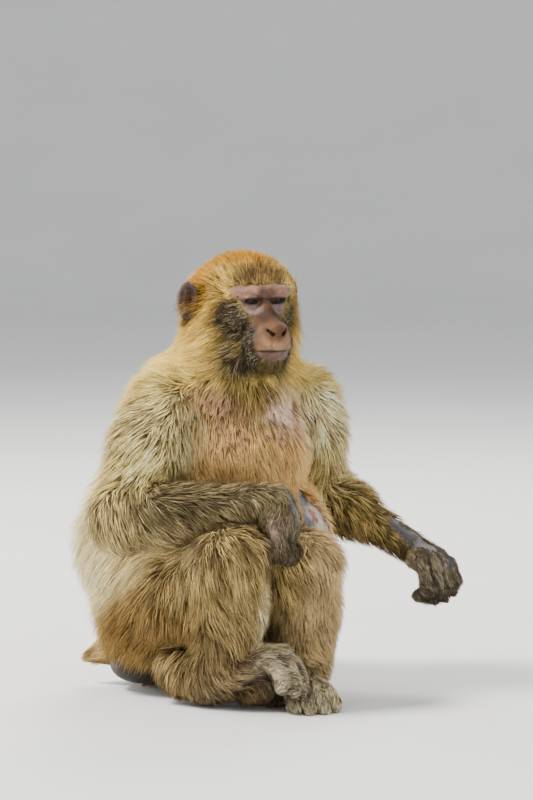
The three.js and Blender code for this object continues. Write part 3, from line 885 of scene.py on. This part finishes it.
WALK_STEPS = (0.45, 0.55)  # shares of a tuft's length
RINGS = len(WALK_STEPS)
WIDTH_ALONG = (1, 0.85)
TAIL_ROOT, TAIL_TIP, TAIL_REACH = v(-32, 78, 42), v(-63, 101, 29), 26  # of the tuft low on the rump
TUFTS = 145000
TRIANGLES_EACH = 6 * (RINGS - 1) + 4
MOST_TRIANGLES = 190000  # in a piece of the coat
BODY_WIDTH = 1.1
PATCH = 0.003  # width and height of a tuft's place on the unwrap
HEIGHT_STEP = 1.5  # over which the skin's slope is measured


def head_flow(points):
    """Back over the crown, up at the forehead, back and down behind the cheeks, down at the chin."""
    ahead, left, up = head_frame(points).T
    aside = np.sign(left) * smoothstep(np.abs(left), 3, 28)

    def way(forward, sideways, upward):
        return np.stack(np.broadcast_arrays(forward, sideways * aside, upward), axis=1)

    total = mix(way(-0.8, 0.75, -0.8), way(-1, 0.3, 0.45), smoothstep(up, -12, 30))
    total = mix(total, way(-0.3, 0.5, 1), smoothstep(ahead, 20, 46) * smoothstep(up, 6, 22))
    total = mix(total, way(0.1, 0.3, -1), smoothstep(up, -48, -60) * smoothstep(ahead, 10, 40))
    return unit(total) @ HEAD_AXES


def flow_at(points):
    """The way the hair lies, before it is laid along the skin."""
    total = np.zeros_like(points)
    distances = np.stack([mass.distance(points, False) for mass in [*MASSES, TAIL_HAIR]])
    for mass, distance in zip([*MASSES, TAIL_HAIR], distances):
        flow = np.broadcast_to(mass.flow, points.shape)
        if mass.name in ("chest", "belly"):
            flow = flow - points * v(0.006, 0, 0)
        if mass.name == "thigh":
            flow = flow + smoothstep(points[:, 1], -120, -30)[:, None] * v(0, 0.55, 0)
        if mass.name == "shin":
            flow = flow + smoothstep(points[:, 2], 110, 60)[:, None] * v(0, 0.35, 0)
        total += np.exp(-(distance - distances.min(0)) / 9)[:, None] * flow
    total = unit(total)
    for paw in PAWS.values():
        share = np.exp(-np.maximum(paw.distance(points, False), 0) / 8)
        on = smoothstep(paw.along(points), -15, 12)
        total = mix(total, paw.ahead - 0.35 * paw.top, share * on)
    return unit(mix(total, head_flow(points), head_share(points)))


def laid(direction, normal):
    """A direction turned into the plane of the skin."""
    return unit(direction - (direction * normal).sum(1)[:, None] * normal)


def skin_normals_and_height(points):
    """Both from one set of samples of the skin's field."""
    here = skin_distance(points)
    ahead = [skin_distance(points + HEIGHT_STEP * axis) for axis in np.eye(3)]
    return unit(np.stack([a - here for a in ahead], axis=1)), here


def walk(roots, normals, heading, lengths, heights, proud, tail):
    """The middle line of each tuft: it follows the lie of the coat and rises to its height over the skin.
    A proud tuft stands out more, and those of the tail tuft run together at its tip."""
    line = [roots]
    point, normal = roots, normals
    done = 0
    for share in WALK_STEPS:
        done += share
        way = laid(flow_at(point) + heading, normal)
        way = mix(way, unit(way + 1.2 * normal), proud)
        way = np.where(tail[:, None], unit(TAIL_TIP + 10 * heading - roots), way)
        point = point + way * (lengths * share)[:, None]
        normal, height = skin_normals_and_height(point)
        rise = np.clip(heights * done**0.85 - height, -12, 0.7 * lengths * share) * (1 - proud)
        point = point + normal * rise[:, None]
        line.append(point)
    return np.stack(line, axis=1)


def nearest_of(points, chosen):
    tree = KDTree(len(chosen))
    for i, point in enumerate(points[chosen]):
        tree.insert(point, i)
    tree.balance()
    return np.array([tree.find(point)[1] for point in points])


def gathered(line, lengths, share_of_guides, strength):
    """Draws neighbouring tufts together towards their tips, as locks."""
    count = len(line)
    guides = np.sort(rng.choice(count, int(count * share_of_guides), replace=False))
    mine = nearest_of(line[:, 0], guides)
    guide = line[guides][mine]
    offset = (line[:, :1] - guide[:, :1]) * 0.25
    like = np.clip(lengths / np.maximum(lengths[guides][mine], 1), 0.5, 1.5)
    target = guide[:, :1] + offset + (guide - guide[:, :1]) * like[:, None, None]
    along = (np.arange(line.shape[1]) / RINGS) ** 1.3
    share = strength[:, None, None] * along[None, :, None]
    return line * (1 - share) + target * share, mine


def shaded_along(colours, dark, along):
    """Darker at the root: partly the hairs' own dark bases, partly painted shade deep in the coat. The
    tuft's own colour towards its end, and paler at the tip.
    """
    shade = np.interp(along, (0, 0.4, 0.8, 1), (0, 0.75, 1, 1))
    low = colours * dark[:, None]
    high = colours[:, None] * (1 + 0.3 * along[None, :, None] ** 2)
    return np.clip(mix(low[:, None], high, shade[None]), 0, 1)


def tuft_mesh(name, line, widths, colours, dark, uvs):
    """Closed three-sided spikes along the middle lines, joined in one mesh."""
    count = len(line)
    tangent = unit(np.diff(line, axis=1))
    normal, _ = skin_normals_and_height(line[:, 1])
    across = unit(np.cross(tangent[:, 0], normal))
    corners = []
    for ring, share in enumerate(WIDTH_ALONG):
        side = across * (widths * share / 2)[:, None]
        top = unit(np.cross(across, tangent[:, ring])) * (widths * share * 0.3)[:, None]
        corners += [line[:, ring] + corner for corner in (side, -side, top)]
    points = np.stack([*corners, line[:, RINGS]], axis=1)
    each = points.shape[1]
    faces = [(0, 2, 1)]
    for ring in range(RINGS - 1):
        for i in range(3):
            a, b = 3 * ring + i, 3 * ring + (i + 1) % 3
            faces += [(a, b, b + 3), (a, b + 3, a + 3)]
    last = 3 * (RINGS - 1)
    faces += [(last + i, last + (i + 1) % 3, each - 1) for i in range(3)]
    faces = (np.array(faces)[None] + each * np.arange(count)[:, None, None]).reshape(-1, 3)

    mesh = bpy.data.meshes.new(name)
    mesh.vertices.add(count * each)
    mesh.vertices.foreach_set("co", (points * MM).ravel())
    mesh.loops.add(faces.size)
    mesh.loops.foreach_set("vertex_index", faces.ravel().astype(np.int32))
    mesh.polygons.add(len(faces))
    mesh.polygons.foreach_set("loop_start", np.arange(0, faces.size, 3, dtype=np.int32))
    mesh.update(calc_edges=True)
    mesh.shade_smooth()

    along = np.array([*np.repeat(np.arange(RINGS) / RINGS, 3), 1])
    sideways = np.array([*([-1, 1, 0] * RINGS), 0])
    mark = np.stack([sideways, along * 2 - 1], axis=1) * PATCH / 2
    at = (uvs[:, None] + mark[None]).reshape(-1, 2)
    mesh.uv_layers.new(name=BAKE_MAP).data.foreach_set("uv", at[faces.ravel()].ravel())
    painted(mesh, "Coat", shaded_along(colours, dark, along).reshape(-1, 3))
    return linked(name, mesh)


def painted(mesh, name, colours):
    rgba = np.ones((len(colours), 4))
    rgba[:, :3] = np.clip(colours, 0, 1)
    attribute = mesh.color_attributes.new(name, "FLOAT_COLOR", "POINT")
    attribute.data.foreach_set("color", rgba.ravel())


def skin_samples(skin):
    """Roots of the tufts, by area times density: their places in space and on the unwrap."""
    mesh = skin.data
    mesh.calc_loop_triangles()
    corners = listed(mesh.loop_triangles, "vertices", 3, np.int32)
    loops = listed(mesh.loop_triangles, "loops", 3, np.int32)
    uv = listed(mesh.uv_layers[BAKE_MAP].data, "uv", 2)[loops]
    points = vertex_array(mesh)[corners]
    cross = np.cross(points[:, 1] - points[:, 0], points[:, 2] - points[:, 0])
    weight = norm(cross) / 2 * density(points.mean(1), unit(cross))
    chosen = rng.choice(len(corners), TUFTS, p=weight / weight.sum())
    a, b = rng.random(TUFTS), rng.random(TUFTS)
    flip = a + b > 1
    a[flip], b[flip] = 1 - a[flip], 1 - b[flip]
    shares = np.stack([1 - a - b, a, b], axis=1)[..., None]
    return (points[chosen] * shares).sum(1), (uv[chosen] * shares).sum(1)


# Half the width of the bare face, and how far ahead it begins, at heights over the ear axis.
FACE_UP = (-57, -53, -49, -41, -30, -22, -15, -6, 3, 11, 15, 17.8)
FACE_HALF_WIDTH = (0, 10, 17, 21, 20, 17, 16, 21, 26, 33, 32, 20)
FACE_BEGINS = (68, 67, 66, 67, 67, 62, 56, 50, 43, 33, 31, 31)


def bare_face(points):
    h = head_frame(points)
    jitter = 1.6 * noise(points, 3.2, 21)
    up = h[:, 2] + 2.6 * noise(points, 5, 23)
    half = np.interp(up, FACE_UP, FACE_HALF_WIDTH, left=0, right=0)
    begins = np.interp(up, FACE_UP, FACE_BEGINS)
    inside = np.minimum(half - np.abs(h[:, 1]), h[:, 0] - begins) + jitter
    return smoothstep(inside, -1.5, 2) * (half > 0)


def callosity(points, spread=1):
    m = np.abs(points * v(1, 0, 0)) + points * v(0, 1, 1)
    return place_spot(m, v(60, 22, 20), v(30, 38, 20) * spread, 0.15)


def bare_share(points, normals):
    """1 where the skin shows: face, ear bowls, palms, soles and callosities."""
    outward = (normals @ LEFTWARD) * np.sign(head_frame(points)[:, 1]) + 0.3 * (normals @ FORWARD)
    ear = (ear_distance(points, False) < 0.5) * smoothstep(outward, 0.1, 0.5)
    under = np.zeros(len(points))
    for paw in PAWS.values():
        facing = smoothstep(-(normals @ paw.top), 0.65, 0.85)
        on = paw.distance(points, False) < 4
        under = np.maximum(under, facing * on * smoothstep(paw.along(points), -5, 8))
    return np.maximum.reduce([bare_face(points), ear, under, callosity(points)])


def density(points, normals):
    small = share_of(region_weights(points), "hand", "foot")
    need = 1 + 3 * head_share(points) + 2 * small + softness(points)
    need += 8 * (norm(points - TAIL_ROOT) < TAIL_REACH)
    need *= (bare_share(points, normals) < 0.5) * smoothstep(points[:, 2], 1, 6)
    return need * (1 - worn(points, 1))


def softness(points):
    """1 on the chest, the belly and the left leg, where the coat is short, fine and even."""
    weights = region_weights(points)
    front = share_of(weights, "chest", "belly") * smoothstep(points[:, 1], -60, -90)
    return np.clip(front + share_of(weights, "shin", "thigh") * smoothstep(points[:, 0], 8, 24), 0, 1)


def worn(points, spread):
    """How thin the coat is worn, from 0 to 1."""
    return np.max([thin * patch(points, place, reach * spread) for place, reach, _, thin in PATCHES], axis=0)


def patch(points, place, reach):
    """1 inside a worn patch: a ball about one place, or a band between two."""
    away = limb(points, *place, 0, 0) / reach + 0.25 * noise(points, 7, 31)
    return 1 - smoothstep(away, 0.7, 1.1)


def coat_region(points):
    """The name of the coat piece that each root belongs to."""
    kind = np.array(KINDS)[region_weights(points).argmax(1)]
    side = np.where(points[:, 0] > 0, "left", "right")
    groups = {"rump": "back_low", "lower_back": "back_low", "upper_back": "back_high", "belly": "front",
              "chest": "front", "withers": "shoulders", "neck": "shoulders"}
    region = np.array([groups.get(k, f"{k}_{s}") for k, s in zip(kind, side)])
    region = np.where((region == "back_low") & (points[:, 2] > 150), "back_middle", region)
    return np.where(head_share(points) > 0.5, "head", region)


def make_coat(skin):
    roots, uvs = skin_samples(skin)
    normals, _ = skin_normals_and_height(roots)
    depth = np.clip(-coat_distance(roots), 1.5, 30)
    small = share_of(region_weights(roots), "hand", "foot")
    head = head_share(roots)
    tail = (norm(roots - TAIL_ROOT) < TAIL_REACH) * (rng.random(TUFTS) < 0.8)
    soft = softness(roots)
    h = head_frame(roots)
    lengths = (depth * 1.4 + 6) * rng.uniform(0.75, 1.25, TUFTS) * (1 - 0.3 * soft)
    lengths = mix1(lengths, rng.uniform(10, 18, TUFTS), small) * (1 - 0.5 * digit_gaps(roots))
    crown = head * smoothstep(h[:, 2], 10, 30)
    cheek = spot(mirrored(h), 50, 27, -36, 32, 18, 42) * head
    lengths *= (1 - 0.25 * crown) * (1 - 0.45 * cheek)
    heights = depth * rng.uniform(0.7, 1.2, TUFTS)
    heights = mix1(heights, rng.uniform(1.5, 4.5, TUFTS), small)
    above = 0.6 * worn(roots - 20 * UPWARD, 1.1)
    short = 1 - np.maximum.reduce([0.55 * worn(roots, 1.7), above, 0.7 * callosity(roots, 1.6)])
    lengths, heights = lengths * short, heights * short
    lengths = np.where(tail, norm(TAIL_TIP - roots) * rng.uniform(0.75, 1.08, TUFTS), lengths)
    fringe = spot(mirrored(h), -22, 56, -6, 18, 22, 38) * head
    standing = rng.random(TUFTS) < mix1(0.14, 0.3, head) + 0.4 * np.maximum(crown, fringe)
    proud = np.where(tail, 1, (mix1(0.4, 0.5, head) + 0.15 * crown) * standing * (1 - small))
    wander = np.stack([noise(roots, 30, 40 + i) for i in range(3)], axis=1)
    fine = np.stack([noise(roots, 9, 50 + i) for i in range(3)], axis=1)
    heading = 0.4 * wander + 0.3 * fine + 0.14 * rng.normal(size=(TUFTS, 3))
    line = walk(roots - 0.6 * normals, normals, heading, lengths, heights, proud, tail)
    loose = np.where((rng.random(TUFTS) < 0.15) | (proud > 0), 0.25, 1)
    line, _ = gathered(line, lengths, 0.008, 0.2 * loose)
    line, lock = gathered(line, lengths, 0.05, 0.45 * loose)
    line[..., 2] = np.maximum(line[..., 2], 0.6)

    colours, fleck = coat_colour(roots, normals), fleck_share(roots, normals)
    lock_shade = rng.normal(size=lock.max() + 1)[lock]
    own = rng.normal(size=TUFTS)
    shade = np.exp((0.16 * lock_shade + 0.34 * own - 0.1) * (1 - 0.7 * soft) + 0.16 * noise(roots, 14, 3))
    is_dark = fleck > 0.65 * rng.random(TUFTS) + 0.35 * (0.5 + 0.5 * np.tanh(lock_shade))
    colours = np.where(is_dark[:, None], mix(colours, DARK_FLECK, 0.7), colours * shade[:, None])
    # How dark each tuft's root is: partly its own dark base, partly painted shade deep in the coat.
    dark = mix1(mix1(0.5, 0.78, soft), 0.32, np.clip(3 * fleck, 0, 1))
    pale = mix(colours, PALE_GOLD * 0.8, 0.3 + 0.5 * rng.random(TUFTS))
    colours = np.where(tail[:, None], pale, colours)
    grizzled = rng.random(TUFTS) < 0.16 * cheek
    colours = np.where(grizzled[:, None], mix(colours, GREY_BUFF, 0.6), colours)
    widths = BODY_WIDTH * rng.uniform(0.7, 1.25, TUFTS) * (1 - 0.42 * head) * (1 - 0.3 * small)
    widths *= (1 - 0.25 * soft) * (1 + 0.8 * tail)

    region = coat_region(roots)
    pieces = []
    most = MOST_TRIANGLES // TRIANGLES_EACH
    for name in np.unique(region):
        members = np.flatnonzero(region == name)
        for part, chunk in enumerate(np.array_split(members, math.ceil(len(members) / most))):
            each = (tuft[chunk] for tuft in (line, widths, colours, dark, uvs))
            pieces.append(tuft_mesh(f"coat_{name}_{part + 1}", *each))
    return pieces


def fleck_share(points, normals):
    """How many of the tufts are dark: most on the arms, flanks and knees, few on the back and chest."""
    base = region_weights(points) @ np.array([FLECKS.get(kind, 0.06) for kind in KINDS])
    pale = smoothstep(normals[:, 1], 0.2, 0.8)
    h = head_frame(points)
    brow, cheek = spot(h, 50, 0, 28, 22, 34, 14), spot(mirrored(h), 53, 26, -36, 24, 18, 38)
    base = np.maximum(base, np.maximum(0.4 * brow, 0.3 * cheek) * head_share(points))
    return base * (1 - 0.45 * pale) * (0.6 + 0.8 * (noise(points, 11, 9) > 0.15))


# The share of dark tufts in each kind of mass.
FLECKS = {"upper_arm": 0.3, "forearm": 0.34, "thigh": 0.26, "shin": 0.22, "upper_back": 0.22,
          "lower_back": 0.16, "rump": 0.24, "withers": 0.2, "neck": 0.15, "hand": 0.32, "foot": 0.36}


# Worn patches: from where to where, how far about that, the colour of the skin and how thin the coat.
PATCHES = [
    ((v(-52, -100, 312), v(-34, -106, 296)), 17, BARE_TAN, 0.6),
    ((v(18, -111, 304), v(52, -100, 296)), 20, BARE_PINK, 0.9),
    ((v(58, -103, 213), v(60, -112, 196)), 6, BARE_BLUE, 0.95),
    ((v(60, -112, 196), v(57, -130, 176)), 6, BARE_BLUE, 0.95),
    ((v(70, -116, 190), v(76, -126, 168)), 14, BARE_PALE, 0.9),
    ((v(66, -116, 192), v(66, -122, 184)), 4, RED_PATCH, 0.98),
    ((v(194, -98, 170), v(212, -160, 131)), 8.5, BARE_GREY, 0.95),
    ((v(-22, -192, 226), v(-14, -194, 204)), 6, BARE_BLUE, 0.95),
    ((v(-46, -188, 192), v(-48, -186, 182)), 6.5, BARE_PALM, 0.9),
]
# Small dark scabs on the brow and cheek, in the head's frame, with their radii.
SCABS = [
    (v(50.5, -28, 7.5), 1.3), (v(49, -32.9, 11.5), 0.8), (v(50.5, -30.3, 14.6), 0.8),
    (v(57, -20.6, -9.3), 1.2), (v(55, -24, -4.5), 0.8),
]


# ------------------------------------------------------------------ materials


class Finish:
    """A material, with short ways to add nodes to it."""

    def __init__(self, name, roughness, specular):
        self.material = bpy.data.materials.new(name)
        self.material.use_nodes = True
        tree = self.material.node_tree
        self.nodes, self.link, self.shader = tree.nodes, tree.links.new, tree.nodes["Principled BSDF"]
        self.shader.inputs["Roughness"].default_value = roughness
        self.shader.inputs["Specular IOR Level"].default_value = specular

    def node(self, kind, settings=(), **inputs):
        """A new node. Inputs are numbers, colours or sockets. An underscore stands for a space."""
        node = self.nodes.new(f"ShaderNode{kind}")
        for name, value in dict(settings).items():
            setattr(node, name, value)
        for name, value in inputs.items():
            socket = node.inputs[name.replace("_", " ")]
            if isinstance(value, bpy.types.NodeSocket):
                self.link(value, socket)
            else:
                socket.default_value = value
        return node

    def noise(self, scale, detail=3, rough=0.55):
        place = self.node("TexCoord").outputs["Object"]
        texture = self.node("TexNoise", Scale=scale, Detail=detail, Roughness=rough, Vector=place)
        return texture.outputs["Fac"]

    def ranged(self, value, low, high):
        """A texture's spread, which is mostly from 0.3 to 0.7, taken to another range."""
        spread = {"From_Min": 0.3, "From_Max": 0.7, "To_Min": low, "To_Max": high}
        return self.node("MapRange", Value=value, **spread).outputs["Result"]

    def mixed(self, factor, a, b, blend="MIX"):
        settings = {"data_type": "RGBA", "blend_type": blend}
        return self.node("Mix", settings, Factor=factor, A=a, B=b).outputs["Result"]

    def show(self, colour):
        self.link(colour, self.shader.inputs["Base Color"])


def painted_finish(name, roughness, specular, grain, shades, detail=3):
    """Shows the colours that are painted on a mesh under the same name, shaded by a fine grain."""
    finish = Finish(name, roughness, specular)
    colour = finish.node("Attribute", {"attribute_name": name.title()}).outputs["Color"]
    shade = finish.ranged(finish.noise(grain, detail), *shades)
    finish.show(finish.mixed(1, colour, shade, "MULTIPLY"))
    return finish


def skin_finish():
    finish = painted_finish("skin", 0.52, 0.35, 130, (0.6, 1.32), 5)
    relief = finish.node("Math", {"operation": "ADD"})
    finish.link(finish.noise(900), relief.inputs[0])  # pores
    finish.link(finish.noise(240, 4, 0.6), relief.inputs[1])  # wrinkles
    bump = finish.node("Bump", Strength=0.7, Distance=0.0018, Height=relief.outputs["Value"])
    finish.link(bump.outputs["Normal"], finish.shader.inputs["Normal"])
    return finish


def skin_colour(points, normals):
    """Under the coat the coat's own colour, darker as painted shade deep in the coat; the bare skin where it
    shows.
    """
    h = head_frame(points)
    m = mirrored(h)
    share = head_share(points)
    face = layered(np.broadcast_to(BARE_MUZZLE, points.shape), [
        # Painted shade on the sides of the muzzle.
        (BARE_BRIDGE, 0.75 * spot(m, 64, 20, -30, 18, 8, 20)),
        (BARE_BRIDGE, spot(h, 64, 0, -14, 28, 18, 17, 0.5)),
        (BARE_NOSE, spot(h, 80, 0, -25, 20, 15, 10)),
        (BARE_DARK, spot(m, 46, 27, -8, 16, 9, 12)),
        (BARE_BROW, (0.75 + 0.5 * noise(points, 5, 27)) * spot(h, 48, 0, 14, 26, 44, 8)),
        (BARE_BRIDGE, 0.7 * spot(h, 56, 0, 12, 14, 10, 8)),
        (BARE_LID, spot(m, 55, 14, -5, 12, 10, 5)),
        # Painted shadow of the brow over the eyes and between them, with the upper lids' own dark colour.
        (BARE_DARK * 0.35, spot(m, 54, 15, 4.8, 12, 12, 2.2, 0.5)),  # painted shadow under the brow
        (BARE_DARK * 0.35, spot(m, 54, 15.5, 3, 12, 10.5, 3.4, 0.3)),
        (BARE_DARK * 0.35, 0.7 * spot(h, 62, 0, 4.8, 12, 14, 2, 0.5)),
        (BARE_LIP, spot(m, 80, 6, -50, 16, 18, 4.5)),
        (DARK_CHEEK * 0.6, 0.8 * spot(h, 70, 0, -62, 26, 26, 8)),
        (BARE_DARK * 0.3, spot(m, 82, 8, -45.5, 16, 17, 1.3, 0.5)),  # painted shade between the lips
        # Painted shade inside the nostrils.
        (BARE_DARK * 0.05, 1 - smoothstep(limb(m, *NOSTRIL, 2.1, 1.2), -0.3, 0.7)),
        (BARE_LID * 1.1, 0.6 * spot(h, 57, -18.7, -20.3, 6, 3, 4.5)),
    ])
    bare = layered(np.broadcast_to(BARE_HAND, points.shape), [
        (face, share * (h[:, 0] > 20)),
        (BARE_EAR, share * (m[:, 1] > 40) * (h[:, 0] < 30)),
        (CALLUS, callosity(points)),
        # Painted shade in the grooves between the digits.
        (BARE_DARK * 0.4, 0.7 * digit_gaps(points)),
    ])
    worn_skin = [(colour, patch(points, place, reach)) for place, reach, colour, _ in PATCHES]
    scabs = [(BARE_DARK * 0.2, 1 - smoothstep(norm(h - place), radius * 0.6, radius * 1.3))
             for place, radius in SCABS]
    # The skin under the coat: the coat's colour darkened as painted shade, then the worn patches.
    under = layered(coat_colour(points, normals) * 0.6, worn_skin)
    return layered(under, [(bare, bare_share(points, normals)), *scabs])


def paint_skin(skin):
    normals = listed(skin.data.vertices, "normal", 3)
    painted(skin.data, "Skin", skin_colour(vertex_array(skin.data), normals))


PUPIL, IRIS = 2.1, 4.7  # radii


def make_eye(side, sign, finish):
    """An eyeball with its cornea. Its colours go by distance from its axis: pupil, iris and rim."""
    bpy.ops.mesh.primitive_uv_sphere_add(segments=64, ring_count=48, radius=1)
    eye = bpy.context.object
    eye.name = f"eyeball_{side}"
    points = vertex_array(eye.data) * MM
    gaze = unit(FORWARD + 0.05 * sign * LEFTWARD)
    level = unit(np.cross(UPWARD, gaze))
    along = points[:, 2]
    across = np.sqrt(np.maximum(1 - along**2, 0)) * EYE_RADIUS
    bulge = 1 + 0.07 * smoothstep(along, 0.80, 0.97)
    turned = (points * EYE_RADIUS * bulge[:, None]) @ np.array([level, np.cross(gaze, level), gaze])
    placed = on_head(EYE_AHEAD, EYE_ASIDE * sign, EYE_UP) + turned
    eye.data.vertices.foreach_set("co", (placed * MM).ravel())
    behind = along <= 0
    # The iris's own brown, painted darker as the shade of the brow over it.
    colour = mix(srgb(46, 28, 14), srgb(24, 16, 10), smoothstep(across, 2.2, 4.4))
    colour = np.where(((across < PUPIL) & ~behind)[:, None], 0.003, colour)
    colour = np.where(((across > IRIS) | behind)[:, None], srgb(52, 38, 30), colour)
    painted(eye.data, "Eye", colour)
    eye.data.shade_smooth()
    eye.data.materials.append(finish.material)
    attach(eye, "root")
    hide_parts(f"eye_{side}")


def make_nails():
    """A curved, pointed plate on the back of each finger and toe."""
    bm = bmesh.new()
    for paw, chain in ((paw, chain) for paw in PAWS.values() for chain in paw.chains):
        way, start = unit(chain[-1] - chain[-2]), unit(chain[1] - chain[0])
        back = unit(np.cross(np.cross(way, paw.top if abs(way @ paw.top) < 0.9 else start), way))
        turn = back @ paw.top * (way @ start) - (way @ paw.top) * (back @ start)
        back = back * (1 if turn > 0 else -1)
        aside = np.cross(back, way)
        centre = chain[-1] - way * paw.thick * 0.1 + back * paw.thick * 0.5
        for vert in bmesh.ops.create_uvsphere(bm, u_segments=20, v_segments=14, radius=1)["verts"]:
            x, y, z = vert.co
            wide = aside * x * 3.6 * (1 - 0.35 * max(y, 0))
            place = centre + wide + way * y * 6.4 + back * (z * 1.3 - 1.3 * x * x - y * y)
            vert.co = Vector(place * MM)
    mesh = bpy.data.meshes.new("nails")
    bm.to_mesh(mesh)
    bm.free()
    mesh.shade_smooth()
    nails = linked("nails", mesh)
    finish = Finish("nail", 0.35, 0.5)
    finish.show(finish.mixed(finish.noise(400, 4), (*srgb(52, 42, 36), 1), (*srgb(96, 80, 66), 1)))
    mesh.materials.append(finish.material)
    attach(nails, "root")


# ------------------------------------------------------------------ floor, light and camera

CAMERA_AZIMUTH, CAMERA_ELEVATION = math.radians(-40), math.radians(5)
CAMERA_DISTANCE = 4000
MM_PER_PIXEL = 1.04
PHOTO_SIZE = (533, 800)
ORIGIN_PIXEL = (190, 690)  # where the origin of the part is in the frame
SENSOR = 36


def make_camera():
    """Adds the camera. Returns the directions back to it and to the right of its picture."""
    ce, se = math.cos(CAMERA_ELEVATION), math.sin(CAMERA_ELEVATION)
    right = v(math.cos(CAMERA_AZIMUTH), math.sin(CAMERA_AZIMUTH), 0)
    back = v(math.sin(CAMERA_AZIMUTH) * ce, -math.cos(CAMERA_AZIMUTH) * ce, se)
    up = np.cross(back, right)
    target = right * (PHOTO_SIZE[0] / 2 - ORIGIN_PIXEL[0]) * MM_PER_PIXEL
    target = target + up * (ORIGIN_PIXEL[1] - PHOTO_SIZE[1] / 2) * MM_PER_PIXEL
    data = bpy.data.cameras.new("camera")
    data.sensor_fit = "VERTICAL"
    data.sensor_height = data.sensor_width = SENSOR
    data.lens = SENSOR * CAMERA_DISTANCE / (PHOTO_SIZE[1] * MM_PER_PIXEL)
    data.clip_end = 50
    camera = linked("camera", data)
    camera.location = Vector((target + back * CAMERA_DISTANCE) * MM)
    camera.rotation_euler = Vector(-back).to_track_quat("-Z", "Y").to_euler()
    bpy.context.scene.camera = camera
    return back, right


LIGHT_TARGET = Vector((0, 0, 0.25))  # metres, like the places and sizes of the lights


def area_light(name, place, size, power, colour=(1, 1, 1)):
    data = bpy.data.lights.new(name, "AREA")
    data.size = size
    data.energy = power
    data.color = colour
    light = linked(name, data)
    light.location = place
    light.rotation_euler = (LIGHT_TARGET - Vector(place)).to_track_quat("-Z", "Y").to_euler()


STUDIO_RADIUS = 9  # metres; wide enough for cameras all round the part to stand inside it
STUDIO_CURVE = 3  # radius of the curve from floor to wall
STUDIO_HEIGHT = 8


def make_studio(back, right):
    """A round floor that curves up into a wall, so that no horizon shows, and the lights."""
    profile = [(STUDIO_RADIUS - STUDIO_CURVE, 0)]
    for step in range(1, 9):
        turn = math.radians(90 * step / 8)
        out, high = 1 - math.sin(turn), 1 - math.cos(turn)
        profile.append((STUDIO_RADIUS - STUDIO_CURVE * out, STUDIO_CURVE * high))
    profile.append((STUDIO_RADIUS, STUDIO_HEIGHT))
    spokes = 96
    turns = np.radians(np.arange(spokes) * 360 / spokes)
    points = [(0, 0, 0)] + [(r * math.cos(t), r * math.sin(t), z) for r, z in profile for t in turns]
    faces = [(0, 1 + i, 1 + (i + 1) % spokes) for i in range(spokes)]
    for a in range(1, 1 + (len(profile) - 1) * spokes, spokes):
        for i in range(spokes):
            j = (i + 1) % spokes
            faces.append((a + i, a + spokes + i, a + spokes + j, a + j))
    floor = mesh_object("floor", np.array(points), faces)
    finish = Finish("floor", 0.95, 0.1)
    finish.show(finish.ranged(finish.noise(3), 0.70, 0.73))
    floor.data.materials.append(finish.material)
    world = bpy.data.worlds.new("studio")
    world.use_nodes = True
    sky = world.node_tree.nodes["Background"].inputs
    sky["Color"].default_value = (0.93, 0.96, 1, 1)
    sky["Strength"].default_value = 0.85
    bpy.context.scene.world = world
    up = UPWARD
    area_light("key", back * 1.0 - right * 2.0 + up * 2.8, 0.9, 250, (1, 0.96, 0.9))
    area_light("rim", -back * 2 + right * 0.4 + up * 2.4, 1.2, 90, (1, 0.97, 0.92))
    area_light("side", -right * 2.4 - back * 1.5 + up * 0.7, 1.2, 110, (1, 0.98, 0.94))
    area_light("fill", back * 2.4 + right * 1.8 + up * 0.9, 2, 45)


# ------------------------------------------------------------------ putting it together


FLESH = [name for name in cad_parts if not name.startswith("eye_")]


def main():
    make_studio(*make_camera())
    skin = make_skin()
    paint_skin(skin)
    skin.data.materials.append(skin_finish().material)
    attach(skin, "root")
    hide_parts(*FLESH)
    eye_finish = painted_finish("eye", 0.16, 0.12, 1500, (0.75, 1.25))
    for side, sign in (("left", 1), ("right", -1)):
        make_eye(side, sign, eye_finish)
    make_nails()
    coat_finish = painted_finish("coat", 0.75, 0.05, 260, (0.82, 1.15))
    for piece in make_coat(skin):
        piece.data.materials.append(coat_finish.material)
        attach(piece, "root")


main()
